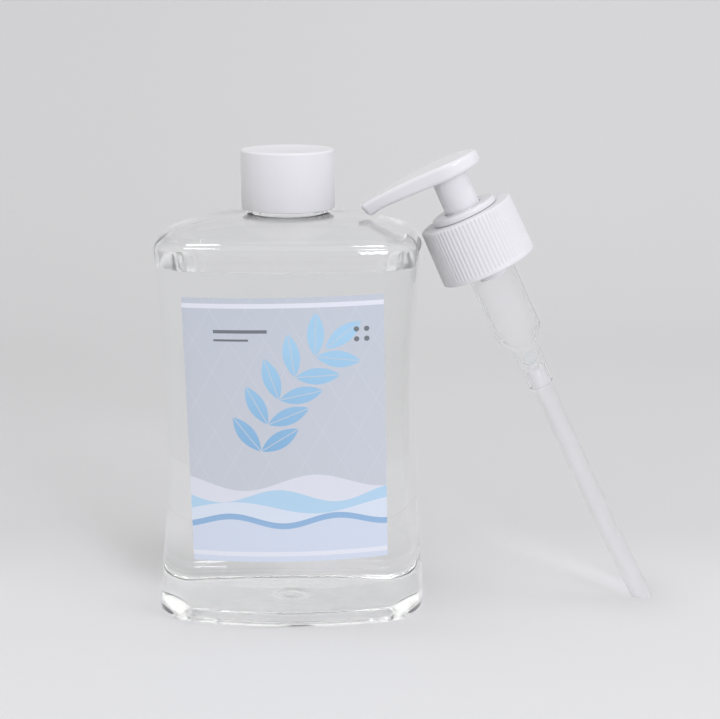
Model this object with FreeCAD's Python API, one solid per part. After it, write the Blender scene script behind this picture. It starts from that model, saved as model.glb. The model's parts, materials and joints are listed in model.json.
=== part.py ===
import FreeCAD, Part
import math
import os

# Pump oil bottle: a waisted clear bottle full of oil, its screw cap on, and its lotion pump taken
# off and leaning against the shoulder. Millimetres, +Z up, origin under the middle of the bottle.

# Bottle body, outside: half widths along X, half depths along Y, heights along Z
BASE_HALF_WIDTH = 46.2
FLARE_HALF_WIDTH = 43.8
WAIST_HALF_WIDTH = 41.9
SHOULDER_HALF_WIDTH = 44.2
BASE_HALF_DEPTH = 32.0
FLARE_HALF_DEPTH = 31.2
WAIST_HALF_DEPTH = 30.6
SHOULDER_HALF_DEPTH = 31.4
FLARE_HEIGHT = 26.0
WAIST_HEIGHT = 70.0
SHOULDER_HEIGHT = 127.0
FRONT_RADIUS = 130.0
SIDE_RADIUS = 80.0
CORNER_RADIUS = 14.0
HEEL_RADIUS = 3.0
SHOULDER_RADIUS = 4.5

# Domed shoulder
DOME_HALF_WIDTH = 29.0
DOME_HALF_DEPTH = 21.5
DOME_SIDE_RADIUS = 40.0
DOME_FRONT_RADIUS = 55.0
DOME_CORNER_RADIUS = 15.0
DOME_RISE = 4.9
NECK_FOOT_RISE = 1.9

# Walls of the blown bottle
WALL = 1.2
BASE_THICKNESS = 5.0
INNER_HEEL_RADIUS = 6.0
PUSH_UP_DEPTH = 2.6
STANDING_RING = 7.0
PUSH_UP_SLOPE = 4.5

# Neck finish, 28 mm over the thread's crest
THREAD_RADIUS = 13.7
THREAD_DEPTH = 1.15
NECK_WALL = 1.75
NECK_LIP_RADIUS = 0.5

# Contents and label
HEADSPACE = 8.5
OIL_GAP = 0.08
LABEL_WIDTH = 63.5
LABEL_HEIGHT = 87.6
LABEL_DROP = 15.4
LABEL_TILT = 1.1
LABEL_THICKNESS = 0.2
LABEL_GAP = 0.1

# Screw cap
CAP_WALL = 1.35
CAP_HEIGHT = 19.0
CAP_TOP_THICKNESS = 1.5
CAP_EDGE_RADIUS = 0.7
CAP_FOOT_GAP = 1.6
THREAD_CLEARANCE = 0.2
LINER_THICKNESS = 1.0
LINER_CLEARANCE = 0.25

# Pump, set out along its own axis with zero at the collar's lower rim. It stands on the tip of its
# dip tube and leans on the bottle, so its height and its distance from the bottle follow from these.
PUMP_Y = -3.5
PUMP_LEAN = 25.0
LEAN_GAP = 0.6
HEAD_STROKE = 10.8

# Collar
CLOSURE_WALL = 1.7
CLOSURE_DRAFT = 0.4
CLOSURE_HEIGHT = 19.0
CLOSURE_TOP_THICKNESS = 1.1
CLOSURE_EDGE_RADIUS = 0.7
RIB_COUNT = 72
RIB_GROOVE_RADIUS = 0.45
RIB_GROOVE_DEPTH = 0.25
RIB_FOOT = 1.4

# Fits inside the pump
RUNNING_CLEARANCE = 0.1
SEAL_CLEARANCE = 0.05
SEAT_GAP = 0.1

# Lock ring: disc on the collar and guide cup below it
DISC_OVERLAP = 2.4
DISC_HEIGHT = 2.1
DISC_EDGE_RADIUS = 0.9
CUP_WALL = 1.1
CUP_DEPTH = 14.5
CUP_FLOOR_THICKNESS = 1.0

# Housing: a neck round the guide cup, a flange, the chamber, a taper and the foot with the tube's socket
HOUSING_NECK_WALL = 1.2
FLANGE_CLEARANCE = 0.9
FLANGE_THICKNESS = 1.5
LEDGE_WIDTH = 0.5
CHAMBER_WALL = 1.1
CHAMBER_LENGTH = 29.5
TAPER_LENGTH = 5.0
FOOT_LENGTH = 14.5
FOOT_WALL = 0.9
FOOT_DRAFT = 0.2
INLET_SEAT_THICKNESS = 1.5
INLET_BORE_RADIUS = 1.5
SOCKET_DEPTH = 6.5
SOCKET_WALL = 0.85

# Gasket
GASKET_THICKNESS = 1.2

# Head with its sleeve and nozzle
SLEEVE_RADIUS = 5.9
SLEEVE_WALL = 1.3
SLEEVE_DRAFT = 0.1
SLEEVE_STOP_GAP = 1.2
HEAD_STOP_GAP = 0.6
HEAD_TIP_THICKNESS = 3.5
HEAD_CROWN_THICKNESS = 5.0
HEAD_HEEL_THICKNESS = 4.3
PAD_RADIUS = 11.6
NOZZLE_REACH = 30.0
NOZZLE_LIP_BACK = 1.8
NOZZLE_DROOP = 0.8
NOZZLE_DROOP_LENGTH = 8.0
NOZZLE_HALF_WIDTH = 4.2
HEAD_EDGE_RADIUS = 1.1
OUTLET_RADIUS = 1.4
OUTLET_RISE = 1.9

# Stem, outlet valve and piston
STEM_RADIUS = 2.6
STEM_WALL = 0.9
STEM_SOCKET_DEPTH = 2.6
SEAT_FLANGE_WIDTH = 1.8
SEAT_FLANGE_THICKNESS = 1.8
SEAT_SPIGOT_LENGTH = 4.0
SEAT_BORE_RADIUS = 0.8
SEAT_CONE_DEPTH = 0.6
OUTLET_BALL_CLEARANCE = 0.3
PISTON_LENGTH = 5.0
PISTON_HEADROOM = 1.4
PISTON_LIP = 1.2
PISTON_WAIST_DEPTH = 1.7

# Spring
SPRING_WIRE_RADIUS = 0.4
SPRING_TURNS = 8

# Inlet valve and dip tube
INLET_BALL_CLEARANCE = 0.9
TUBE_RADIUS = 3.3
TUBE_WALL = 0.7
TUBE_LENGTH = 84.9
TUBE_BOW = 2.1

# Working values
Y_AXIS = FreeCAD.Vector(0, 1, 0)
Z_AXIS = FreeCAD.Vector(0, 0, 1)
OVER = 1.0
EDGE_TOLERANCE = 0.02
ROUND_SPLIT = 0.02
REST_TOLERANCE = 0.001

# Bottle and cap, worked out from the sizes above
DOME_HEIGHT = SHOULDER_HEIGHT + DOME_RISE
NECK_FOOT_HEIGHT = DOME_HEIGHT + NECK_FOOT_RISE
NECK_RADIUS = THREAD_RADIUS - THREAD_DEPTH
NECK_BORE_RADIUS = NECK_RADIUS - NECK_WALL
CLOSURE_BORE_RADIUS = THREAD_RADIUS + THREAD_CLEARANCE
CAP_FOOT = NECK_FOOT_HEIGHT + CAP_FOOT_GAP
CAP_UNDERSIDE = CAP_FOOT + CAP_HEIGHT - CAP_TOP_THICKNESS
CAP_RADIUS = CLOSURE_BORE_RADIUS + CAP_WALL
NECK_TOP = CAP_UNDERSIDE - LINER_THICKNESS
OIL_LEVEL = SHOULDER_HEIGHT - HEADSPACE
LABEL_MIDDLE = SHOULDER_HEIGHT - LABEL_DROP - LABEL_HEIGHT / 2

# Radii of the pump, from the head's sleeve outwards
CUP_BORE_RADIUS = SLEEVE_RADIUS + RUNNING_CLEARANCE
CUP_RADIUS = CUP_BORE_RADIUS + CUP_WALL
HOUSING_BORE_RADIUS = CUP_RADIUS + SEAT_GAP
HOUSING_NECK_RADIUS = HOUSING_BORE_RADIUS + HOUSING_NECK_WALL
PANEL_HOLE_RADIUS = HOUSING_NECK_RADIUS + RUNNING_CLEARANCE
DISC_RADIUS = PANEL_HOLE_RADIUS + DISC_OVERLAP
FLANGE_RADIUS = CLOSURE_BORE_RADIUS - FLANGE_CLEARANCE
CLOSURE_TOP_RADIUS = CLOSURE_BORE_RADIUS + CLOSURE_WALL
CLOSURE_FOOT_RADIUS = CLOSURE_TOP_RADIUS + CLOSURE_DRAFT
CHAMBER_RADIUS = HOUSING_BORE_RADIUS - LEDGE_WIDTH
SOCKET_RADIUS = TUBE_RADIUS + SEAL_CLEARANCE
FOOT_RADIUS = SOCKET_RADIUS + SOCKET_WALL
FOOT_BORE_RADIUS = FOOT_RADIUS - FOOT_WALL
INLET_BALL_RADIUS = FOOT_BORE_RADIUS - INLET_BALL_CLEARANCE
SLEEVE_BORE_RADIUS = SLEEVE_RADIUS - SLEEVE_WALL
STEM_BORE_RADIUS = STEM_RADIUS - STEM_WALL
SPIGOT_RADIUS = STEM_BORE_RADIUS - SEAL_CLEARANCE
OUTLET_BALL_RADIUS = STEM_BORE_RADIUS - OUTLET_BALL_CLEARANCE
SPRING_RADIUS = (STEM_RADIUS + SLEEVE_BORE_RADIUS) / 2

# Heights along the pump's axis, from the collar's lower rim
PANEL_UNDERSIDE = CLOSURE_HEIGHT - CLOSURE_TOP_THICKNESS
FLANGE_TOP = PANEL_UNDERSIDE - SEAT_GAP
FLANGE_BOTTOM = FLANGE_TOP - FLANGE_THICKNESS
DISC_UNDERSIDE = CLOSURE_HEIGHT + SEAT_GAP
DISC_TOP = DISC_UNDERSIDE + DISC_HEIGHT
CUP_FOOT = DISC_UNDERSIDE - CUP_DEPTH
CUP_FLOOR = CUP_FOOT + CUP_FLOOR_THICKNESS
LEDGE_HEIGHT = CUP_FOOT - SEAT_GAP
CHAMBER_FOOT = LEDGE_HEIGHT - CHAMBER_LENGTH
TAPER_FOOT = CHAMBER_FOOT - TAPER_LENGTH
HOUSING_FOOT = TAPER_FOOT - FOOT_LENGTH
SOCKET_TOP = HOUSING_FOOT + SOCKET_DEPTH
INLET_SEAT_HEIGHT = SOCKET_TOP + INLET_SEAT_THICKNESS
SLEEVE_FOOT = CUP_FLOOR + HEAD_STROKE + SLEEVE_STOP_GAP
HEAD_UNDERSIDE = DISC_TOP + HEAD_STROKE + HEAD_STOP_GAP
HEAD_CROWN = HEAD_UNDERSIDE + HEAD_CROWN_THICKNESS
OUTLET_HEIGHT = HEAD_UNDERSIDE + OUTLET_RISE
STEM_TOP = HEAD_UNDERSIDE + STEM_SOCKET_DEPTH
PISTON_TOP = CUP_FOOT - PISTON_HEADROOM
STEM_FOOT = PISTON_TOP - PISTON_LENGTH
SEAT_FLANGE_TOP = STEM_FOOT - SEAT_GAP
SPRING_FOOT = CUP_FLOOR + SEAT_GAP
SPRING_TOP = HEAD_UNDERSIDE - SEAT_GAP


def vec(x, y, z):
    return FreeCAD.Vector(x, y, z)


# Plan outlines of the bottle

def corner_centre(half_width, half_depth, front_r, side_r, corner_r):
    """Centre of the corner arc that touches the front arc and the side arc from inside."""
    front = (0.0, front_r - half_depth)
    side = (half_width - side_r, 0.0)
    span_x = side[0] - front[0]
    span_y = side[1] - front[1]
    span = math.hypot(span_x, span_y)
    reach_front = front_r - corner_r
    reach_side = side_r - corner_r
    along = (reach_front ** 2 - reach_side ** 2 + span ** 2) / (2 * span)
    across = math.sqrt(reach_front ** 2 - along ** 2)
    foot_x = front[0] + along * span_x / span
    foot_y = front[1] + along * span_y / span
    return foot_x - across * span_y / span, foot_y + across * span_x / span


def outline(half_width, half_depth, front_r, side_r, corner_r, z):
    """Closed wire of eight tangent arcs: front, back, two sides and four corners."""
    cx, cy = corner_centre(half_width, half_depth, front_r, side_r, corner_r)
    front_y = front_r - half_depth
    side_x = half_width - side_r
    lean_front = math.atan2(cx, front_y - cy)
    lean_side = math.atan2(-cy, cx - side_x)
    front_x = front_r * math.sin(lean_front)
    front_end_y = front_y - front_r * math.cos(lean_front)
    side_end_x = side_x + side_r * math.cos(lean_side)
    side_y = -side_r * math.sin(lean_side)
    lean_mid = (lean_front + math.pi / 2 - lean_side) / 2
    mid_x = cx + corner_r * math.sin(lean_mid)
    mid_y = cy - corner_r * math.cos(lean_mid)
    ring = [
        (-front_x, front_end_y), (0, -half_depth),
        (front_x, front_end_y), (mid_x, mid_y),
        (side_end_x, side_y), (half_width, 0),
        (side_end_x, -side_y), (mid_x, -mid_y),
        (front_x, -front_end_y), (0, half_depth),
        (-front_x, -front_end_y), (-mid_x, -mid_y),
        (-side_end_x, -side_y), (-half_width, 0),
        (-side_end_x, side_y), (-mid_x, mid_y),
    ]
    points = [vec(x, y, z) for x, y in ring]
    edges = []
    for i in range(0, len(points), 2):
        after = points[(i + 2) % len(points)]
        edges.append(Part.Arc(points[i], points[i + 1], after).toShape())
    return Part.Wire(edges)


def body_outline(half_width, half_depth, inset, z):
    return outline(
        half_width - inset, half_depth - inset,
        FRONT_RADIUS - inset, SIDE_RADIUS - inset, CORNER_RADIUS - inset, z)


def dome_outline(inset, z):
    return outline(
        DOME_HALF_WIDTH - inset, DOME_HALF_DEPTH - inset,
        DOME_FRONT_RADIUS - inset, DOME_SIDE_RADIUS - inset, DOME_CORNER_RADIUS - inset, z)


def round_outline(radius, z):
    """A circle split into eight arcs, so that it lofts cleanly to the bottle's outlines."""
    wide = radius + ROUND_SPLIT
    return outline(radius, radius, wide, wide, radius - ROUND_SPLIT, z)


# Rounding helpers

def edges_at_height(shape, z):
    found = []
    for edge in shape.Edges:
        box = edge.BoundBox
        if abs(box.ZMin - z) < EDGE_TOLERANCE and abs(box.ZMax - z) < EDGE_TOLERANCE:
            found.append(edge)
    return found


def circles_at(shape, radius, z):
    found = []
    for edge in edges_at_height(shape, z):
        if hasattr(edge.Curve, "Radius") and abs(edge.Curve.Radius - radius) < EDGE_TOLERANCE:
            found.append(edge)
    return found


def revolve(points):
    """Solid of revolution about Z from (radius, height) points."""
    ring = [vec(r, 0, z) for r, z in points]
    face = Part.Face(Part.makePolygon(ring + [ring[0]]))
    return face.revolve(vec(0, 0, 0), Z_AXIS, 360)


def tube(outer, inner, low, high):
    return revolve([(inner, low), (outer, low), (outer, high), (inner, high)])


def rod(radius, low, high):
    return Part.makeCylinder(radius, high - low, vec(0, 0, low))


# Bottle

def bottle_body(inset, floor, heel_radius):
    """Waisted body with its domed shoulder, drawn in from the outside by the inset."""
    top = SHOULDER_HEIGHT - inset
    foot = body_outline(BASE_HALF_WIDTH, BASE_HALF_DEPTH, inset, floor)
    flare = body_outline(FLARE_HALF_WIDTH, FLARE_HALF_DEPTH, inset, FLARE_HEIGHT)
    waist = body_outline(WAIST_HALF_WIDTH, WAIST_HALF_DEPTH, inset, WAIST_HEIGHT)
    shoulder = body_outline(SHOULDER_HALF_WIDTH, SHOULDER_HALF_DEPTH, inset, top)
    mouth = round_outline(NECK_RADIUS + WALL - inset, NECK_FOOT_HEIGHT - inset)
    wall = Part.makeLoft([foot, flare, waist, shoulder])
    dome = Part.makeLoft([shoulder, dome_outline(inset, DOME_HEIGHT - inset), mouth])
    skin = Part.makeShell(wall.Faces + dome.Faces + [Part.Face(foot), Part.Face(mouth)])
    skin.sewShape()
    body = Part.Solid(skin)
    body = body.makeFillet(heel_radius, edges_at_height(body, floor))
    return body.makeFillet(SHOULDER_RADIUS - inset, edges_at_height(body, top))


def make_bottle_shell():
    neck = rod(NECK_RADIUS, NECK_FOOT_HEIGHT - WALL, NECK_TOP)
    neck = neck.makeFillet(NECK_LIP_RADIUS, circles_at(neck, NECK_RADIUS, NECK_TOP))
    outside = bottle_body(0, 0, HEEL_RADIUS).fuse(neck)
    cavity = bottle_body(WALL, BASE_THICKNESS, INNER_HEEL_RADIUS)
    bore = rod(NECK_BORE_RADIUS, DOME_HEIGHT - WALL - OVER, NECK_TOP + OVER)
    push_up = Part.makeLoft([
        body_outline(BASE_HALF_WIDTH, BASE_HALF_DEPTH, STANDING_RING, 0),
        body_outline(BASE_HALF_WIDTH, BASE_HALF_DEPTH, STANDING_RING + PUSH_UP_SLOPE, PUSH_UP_DEPTH),
    ], True, True)
    return outside.cut(cavity).cut(bore).cut(push_up)


def make_oil_fill():
    filled = bottle_body(WALL + OIL_GAP, BASE_THICKNESS + OIL_GAP, INNER_HEEL_RADIUS)
    width = 4 * BASE_HALF_WIDTH
    below = Part.makeBox(width, width, OIL_LEVEL, vec(-width / 2, -width / 2, 0))
    return filled.common(below)


def make_front_label():
    outer = bottle_body(-LABEL_GAP - LABEL_THICKNESS, 0, HEEL_RADIUS)
    inner = bottle_body(-LABEL_GAP, 0, HEEL_RADIUS)
    deepest = max(BASE_HALF_DEPTH, FLARE_HALF_DEPTH, WAIST_HALF_DEPTH, SHOULDER_HALF_DEPTH) + OVER
    blank = Part.makeBox(
        LABEL_WIDTH, deepest, LABEL_HEIGHT,
        vec(-LABEL_WIDTH / 2, -deepest, LABEL_MIDDLE - LABEL_HEIGHT / 2))
    blank.rotate(vec(0, 0, LABEL_MIDDLE), Y_AXIS, -LABEL_TILT)
    return outer.common(blank).cut(inner)


def make_cap_shell():
    top = CAP_FOOT + CAP_HEIGHT
    cap = rod(CAP_RADIUS, CAP_FOOT, top)
    cap = cap.makeFillet(CAP_EDGE_RADIUS, circles_at(cap, CAP_RADIUS, top))
    return cap.cut(rod(CLOSURE_BORE_RADIUS, CAP_FOOT - OVER, CAP_UNDERSIDE))


def make_cap_liner():
    return rod(CLOSURE_BORE_RADIUS - LINER_CLEARANCE, NECK_TOP, CAP_UNDERSIDE)


# Pump pieces, built upright along the pump's own axis

def closure_blank():
    """Collar before its ribs and bore, narrowing a little towards the top."""
    blank = Part.makeCone(CLOSURE_FOOT_RADIUS, CLOSURE_TOP_RADIUS, CLOSURE_HEIGHT)
    return blank.makeFillet(CLOSURE_EDGE_RADIUS, circles_at(blank, CLOSURE_TOP_RADIUS, CLOSURE_HEIGHT))


def make_pump_closure():
    groove_offset = RIB_GROOVE_RADIUS - RIB_GROOVE_DEPTH
    draft = (CLOSURE_TOP_RADIUS - CLOSURE_FOOT_RADIUS) / CLOSURE_HEIGHT
    foot = vec(CLOSURE_FOOT_RADIUS + groove_offset + draft * RIB_FOOT, 0, RIB_FOOT)
    grooves = []
    for i in range(RIB_COUNT):
        groove = Part.makeCylinder(RIB_GROOVE_RADIUS, CLOSURE_HEIGHT, foot, vec(draft, 0, 1))
        groove.rotate(vec(0, 0, 0), Z_AXIS, 360 * i / RIB_COUNT)
        grooves.append(groove)
    body = closure_blank().cut(Part.makeCompound(grooves))
    body = body.cut(rod(CLOSURE_BORE_RADIUS, -OVER, PANEL_UNDERSIDE))
    return body.cut(rod(PANEL_HOLE_RADIUS, 0, CLOSURE_HEIGHT + OVER))


def make_lock_ring():
    stem_hole = STEM_RADIUS + RUNNING_CLEARANCE
    ring = revolve([
        (stem_hole, CUP_FOOT),
        (CUP_RADIUS, CUP_FOOT),
        (CUP_RADIUS, DISC_UNDERSIDE),
        (DISC_RADIUS, DISC_UNDERSIDE),
        (DISC_RADIUS, DISC_TOP),
        (CUP_BORE_RADIUS, DISC_TOP),
        (CUP_BORE_RADIUS, CUP_FLOOR),
        (stem_hole, CUP_FLOOR),
    ])
    return ring.makeFillet(DISC_EDGE_RADIUS, circles_at(ring, DISC_RADIUS, DISC_TOP))


def make_housing():
    chamber_outer = CHAMBER_RADIUS + CHAMBER_WALL
    shoulder_drop = HOUSING_NECK_RADIUS - chamber_outer
    taper_radius = FOOT_RADIUS + FOOT_DRAFT
    return revolve([
        (HOUSING_BORE_RADIUS, CLOSURE_HEIGHT),
        (HOUSING_NECK_RADIUS, CLOSURE_HEIGHT),
        (HOUSING_NECK_RADIUS, FLANGE_TOP),
        (FLANGE_RADIUS, FLANGE_TOP),
        (FLANGE_RADIUS, FLANGE_BOTTOM),
        (HOUSING_NECK_RADIUS, FLANGE_BOTTOM),
        (HOUSING_NECK_RADIUS, LEDGE_HEIGHT),
        (chamber_outer, LEDGE_HEIGHT - 2 * shoulder_drop),
        (chamber_outer, CHAMBER_FOOT),
        (taper_radius, TAPER_FOOT),
        (FOOT_RADIUS, HOUSING_FOOT),
        (SOCKET_RADIUS, HOUSING_FOOT),
        (SOCKET_RADIUS, SOCKET_TOP),
        (INLET_BORE_RADIUS, SOCKET_TOP),
        (INLET_BORE_RADIUS, INLET_SEAT_HEIGHT),
        (FOOT_BORE_RADIUS, INLET_SEAT_HEIGHT + FOOT_BORE_RADIUS - INLET_BORE_RADIUS),
        (taper_radius - FOOT_WALL, TAPER_FOOT + FOOT_WALL),
        (CHAMBER_RADIUS, CHAMBER_FOOT + FOOT_WALL),
        (CHAMBER_RADIUS, LEDGE_HEIGHT),
        (HOUSING_BORE_RADIUS, LEDGE_HEIGHT),
    ])


def make_gasket():
    bore = HOUSING_NECK_RADIUS + SEAT_GAP
    return tube(FLANGE_RADIUS, bore, FLANGE_BOTTOM - GASKET_THICKNESS, FLANGE_BOTTOM)


def head_side_form():
    """Side view of the head, from the nozzle's lip to the pad's heel, made wide across Y."""
    tip_top = vec(-NOZZLE_REACH, 0, HEAD_UNDERSIDE + HEAD_TIP_THICKNESS)
    crown = vec(0, 0, HEAD_CROWN)
    heel_top = vec(PAD_RADIUS, 0, HEAD_UNDERSIDE + HEAD_HEEL_THICKNESS)
    heel = vec(PAD_RADIUS, 0, HEAD_UNDERSIDE)
    lip = vec(-NOZZLE_REACH + NOZZLE_LIP_BACK, 0, HEAD_UNDERSIDE - NOZZLE_DROOP)
    bend = vec(lip.x + NOZZLE_DROOP_LENGTH, 0, HEAD_UNDERSIDE)
    middle = (lip + bend) * 0.5 + vec(0, 0, NOZZLE_DROOP / 4)
    edges = [
        Part.Arc(tip_top, crown, heel_top).toShape(),
        Part.makeLine(heel_top, heel),
        Part.makeLine(heel, bend),
        Part.Arc(bend, middle, lip).toShape(),
        Part.makeLine(lip, tip_top),
    ]
    face = Part.Face(Part.Wire(edges))
    face.translate(vec(0, -2 * PAD_RADIUS, 0))
    return face.extrude(vec(0, 4 * PAD_RADIUS, 0))


def head_plan_form():
    """Plan view of the head: a round pad drawn out into the nozzle."""
    flank = math.acos((PAD_RADIUS - NOZZLE_HALF_WIDTH) / NOZZLE_REACH)
    pad_x = -PAD_RADIUS * math.cos(flank)
    pad_y = PAD_RADIUS * math.sin(flank)
    tip_x = -NOZZLE_REACH - OVER
    low = HEAD_UNDERSIDE - NOZZLE_DROOP - OVER
    corners = [
        vec(tip_x, -NOZZLE_HALF_WIDTH, low),
        vec(pad_x, -pad_y, low),
        vec(pad_x, pad_y, low),
        vec(tip_x, NOZZLE_HALF_WIDTH, low),
    ]
    edges = [
        Part.makeLine(corners[0], corners[1]),
        Part.Arc(corners[1], vec(PAD_RADIUS, 0, low), corners[2]).toShape(),
        Part.makeLine(corners[2], corners[3]),
        Part.makeLine(corners[3], corners[0]),
    ]
    return Part.Face(Part.Wire(edges)).extrude(vec(0, 0, HEAD_CROWN - low + OVER))


def make_actuator_head():
    head = head_plan_form().common(head_side_form())
    head = head.makeFillet(HEAD_EDGE_RADIUS, head.Edges)
    sleeve = revolve([
        (SLEEVE_BORE_RADIUS, SLEEVE_FOOT),
        (SLEEVE_RADIUS, SLEEVE_FOOT),
        (SLEEVE_RADIUS, DISC_TOP),
        (SLEEVE_RADIUS - SLEEVE_DRAFT, HEAD_UNDERSIDE + OVER),
        (SLEEVE_BORE_RADIUS, HEAD_UNDERSIDE + OVER),
    ])
    head = head.fuse(sleeve).removeSplitter()
    head = head.cut(rod(STEM_RADIUS + SEAL_CLEARANCE, HEAD_UNDERSIDE - OVER, STEM_TOP))
    outlet = Part.makeCylinder(OUTLET_RADIUS, NOZZLE_REACH + OVER, vec(0, 0, OUTLET_HEIGHT), vec(-1, 0, 0))
    return head.cut(outlet)


def make_stem():
    body = tube(STEM_RADIUS, STEM_BORE_RADIUS, STEM_FOOT, STEM_TOP - SEAT_GAP)
    port = Part.makeCylinder(OUTLET_RADIUS, STEM_RADIUS + OVER, vec(0, 0, OUTLET_HEIGHT), vec(-1, 0, 0))
    return body.cut(port)


def make_valve_seat():
    flange_radius = STEM_RADIUS + SEAT_FLANGE_WIDTH
    flange_foot = SEAT_FLANGE_TOP - SEAT_FLANGE_THICKNESS
    spigot_top = STEM_FOOT + SEAT_SPIGOT_LENGTH
    return revolve([
        (SEAT_BORE_RADIUS, flange_foot),
        (flange_radius, flange_foot),
        (flange_radius, SEAT_FLANGE_TOP),
        (SPIGOT_RADIUS, SEAT_FLANGE_TOP),
        (SPIGOT_RADIUS, spigot_top),
        (SEAT_BORE_RADIUS + SEAT_CONE_DEPTH, spigot_top),
        (SEAT_BORE_RADIUS, spigot_top - SEAT_CONE_DEPTH),
    ])


def ball_on_cone(ball_radius, bore_radius, cone_foot):
    """A ball resting on a 45 degree cone that opens upwards from the bore."""
    centre = cone_foot - bore_radius + (ball_radius + SEAT_GAP) * math.sqrt(2)
    return Part.makeSphere(ball_radius, vec(0, 0, centre))


def make_outlet_ball():
    cone_foot = STEM_FOOT + SEAT_SPIGOT_LENGTH - SEAT_CONE_DEPTH
    return ball_on_cone(OUTLET_BALL_RADIUS, SEAT_BORE_RADIUS, cone_foot)


def make_inlet_ball():
    return ball_on_cone(INLET_BALL_RADIUS, INLET_BORE_RADIUS, INLET_SEAT_HEIGHT)


def make_piston():
    """Sliding seal with a lip at each end, on the stem's foot."""
    lip = CHAMBER_RADIUS - SEAL_CLEARANCE
    waist = lip - PISTON_WAIST_DEPTH
    bore = STEM_RADIUS + RUNNING_CLEARANCE
    return revolve([
        (bore, STEM_FOOT),
        (lip, STEM_FOOT),
        (lip, STEM_FOOT + PISTON_LIP),
        (waist, STEM_FOOT + 2 * PISTON_LIP),
        (waist, PISTON_TOP - 2 * PISTON_LIP),
        (lip, PISTON_TOP - PISTON_LIP),
        (lip, PISTON_TOP),
        (bore, PISTON_TOP),
    ])


def make_spring():
    """Return spring of tilted half rings; each ends square to Y, so it runs smoothly into the next."""
    low = SPRING_FOOT + SPRING_WIRE_RADIUS
    rise = (SPRING_TOP - SPRING_WIRE_RADIUS - low) / (2 * SPRING_TURNS)
    side = 1
    coils = []
    for i in range(2 * SPRING_TURNS):
        start = vec(side * SPRING_RADIUS, 0, low + rise * i)
        centre = vec(0, 0, low + rise * (i + 0.5))
        axis = (start - centre).cross(Y_AXIS) * side
        wire_end = Part.Face(Part.Wire(Part.makeCircle(SPRING_WIRE_RADIUS, start, Y_AXIS)))
        coils.append(wire_end.revolve(centre, axis, 180))
        side = -side
    return coils[0].multiFuse(coils[1:])


def tube_point(length):
    """Point on the tube's bowed centre line, measured along it from the housing's foot."""
    radius = TUBE_LENGTH / math.radians(TUBE_BOW)
    turn = length / radius
    return vec(radius * (1 - math.cos(turn)), 0, HOUSING_FOOT - radius * math.sin(turn))


def make_dip_tube():
    """Tube on the pump's axis in its socket, then bowed gently, and cut level with the floor."""
    top = vec(0, 0, SOCKET_TOP - SEAT_GAP)
    start = tube_point(0)
    past_floor = TUBE_LENGTH + 2 * TUBE_RADIUS
    bowed = Part.Arc(start, tube_point(past_floor / 2), tube_point(past_floor)).toShape()
    path = Part.Wire([Part.makeLine(top, start), bowed])
    solids = []
    for section_radius in (TUBE_RADIUS, TUBE_RADIUS - TUBE_WALL):
        section = Part.Wire(Part.makeCircle(section_radius, top, Z_AXIS))
        solids.append(path.makePipeShell([section], True, False))
    size = 2 * past_floor
    ground = Part.makeBox(size, size, size, vec(-size / 2, -size / 2, -size))
    ground.rotate(vec(0, 0, 0), Y_AXIS, PUMP_LEAN)
    ground.translate(tube_point(TUBE_LENGTH))
    return solids[0].cut(solids[1]).cut(ground)


# Setting the pump against the bottle

def pump_height():
    """Height of the collar's lower rim when the tube's tip stands on the floor."""
    tip = tube_point(TUBE_LENGTH)
    lean = math.radians(PUMP_LEAN)
    return -tip.x * math.sin(lean) - tip.z * math.cos(lean)


def lean_pump(shape, x):
    shape.rotate(vec(0, 0, 0), Y_AXIS, -PUMP_LEAN)
    shape.translate(vec(x, PUMP_Y, pump_height()))
    return shape


def pump_rest():
    """Distance along X at which the leaning pump comes to rest against the bottle."""
    standing = Part.makeCompound([bottle_body(0, 0, HEEL_RADIUS), make_cap_shell()])
    x = 2 * BASE_HALF_WIDTH
    leaning = Part.makeCompound([lean_pump(make_actuator_head(), x), lean_pump(closure_blank(), x)])
    step = x
    while step > REST_TOLERANCE:
        step = leaning.distToShape(standing)[0] - LEAN_GAP
        leaning.translate(vec(-step, 0, 0))
        x -= step
    return x


# Export

STANDING = {
    "bottle_shell": make_bottle_shell,
    "oil_fill": make_oil_fill,
    "front_label": make_front_label,
    "cap_shell": make_cap_shell,
    "cap_liner": make_cap_liner,
}

LEANING = {
    "actuator_head": make_actuator_head,
    "stem": make_stem,
    "valve_seat": make_valve_seat,
    "outlet_ball": make_outlet_ball,
    "piston": make_piston,
    "spring": make_spring,
    "lock_ring": make_lock_ring,
    "pump_closure": make_pump_closure,
    "gasket": make_gasket,
    "housing": make_housing,
    "inlet_ball": make_inlet_ball,
    "dip_tube": make_dip_tube,
}


def export(name, shape):
    print(name, "solids", len(shape.Solids), "valid", shape.isValid(), "volume", round(shape.Volume, 2))
    shape.exportStep("parts/" + name + ".step")


os.makedirs("parts", exist_ok=True)
pump_x = pump_rest()
print("pump at", round(pump_x, 4), PUMP_Y, round(pump_height(), 4))
for name, make in STANDING.items():
    export(name, make())
for name, make in LEANING.items():
    export(name, lean_pump(make(), pump_x))
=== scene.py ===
import json
import math
from functools import lru_cache, partial

import bmesh
import bpy
import numpy as np
from mathutils import Matrix, Vector


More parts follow.
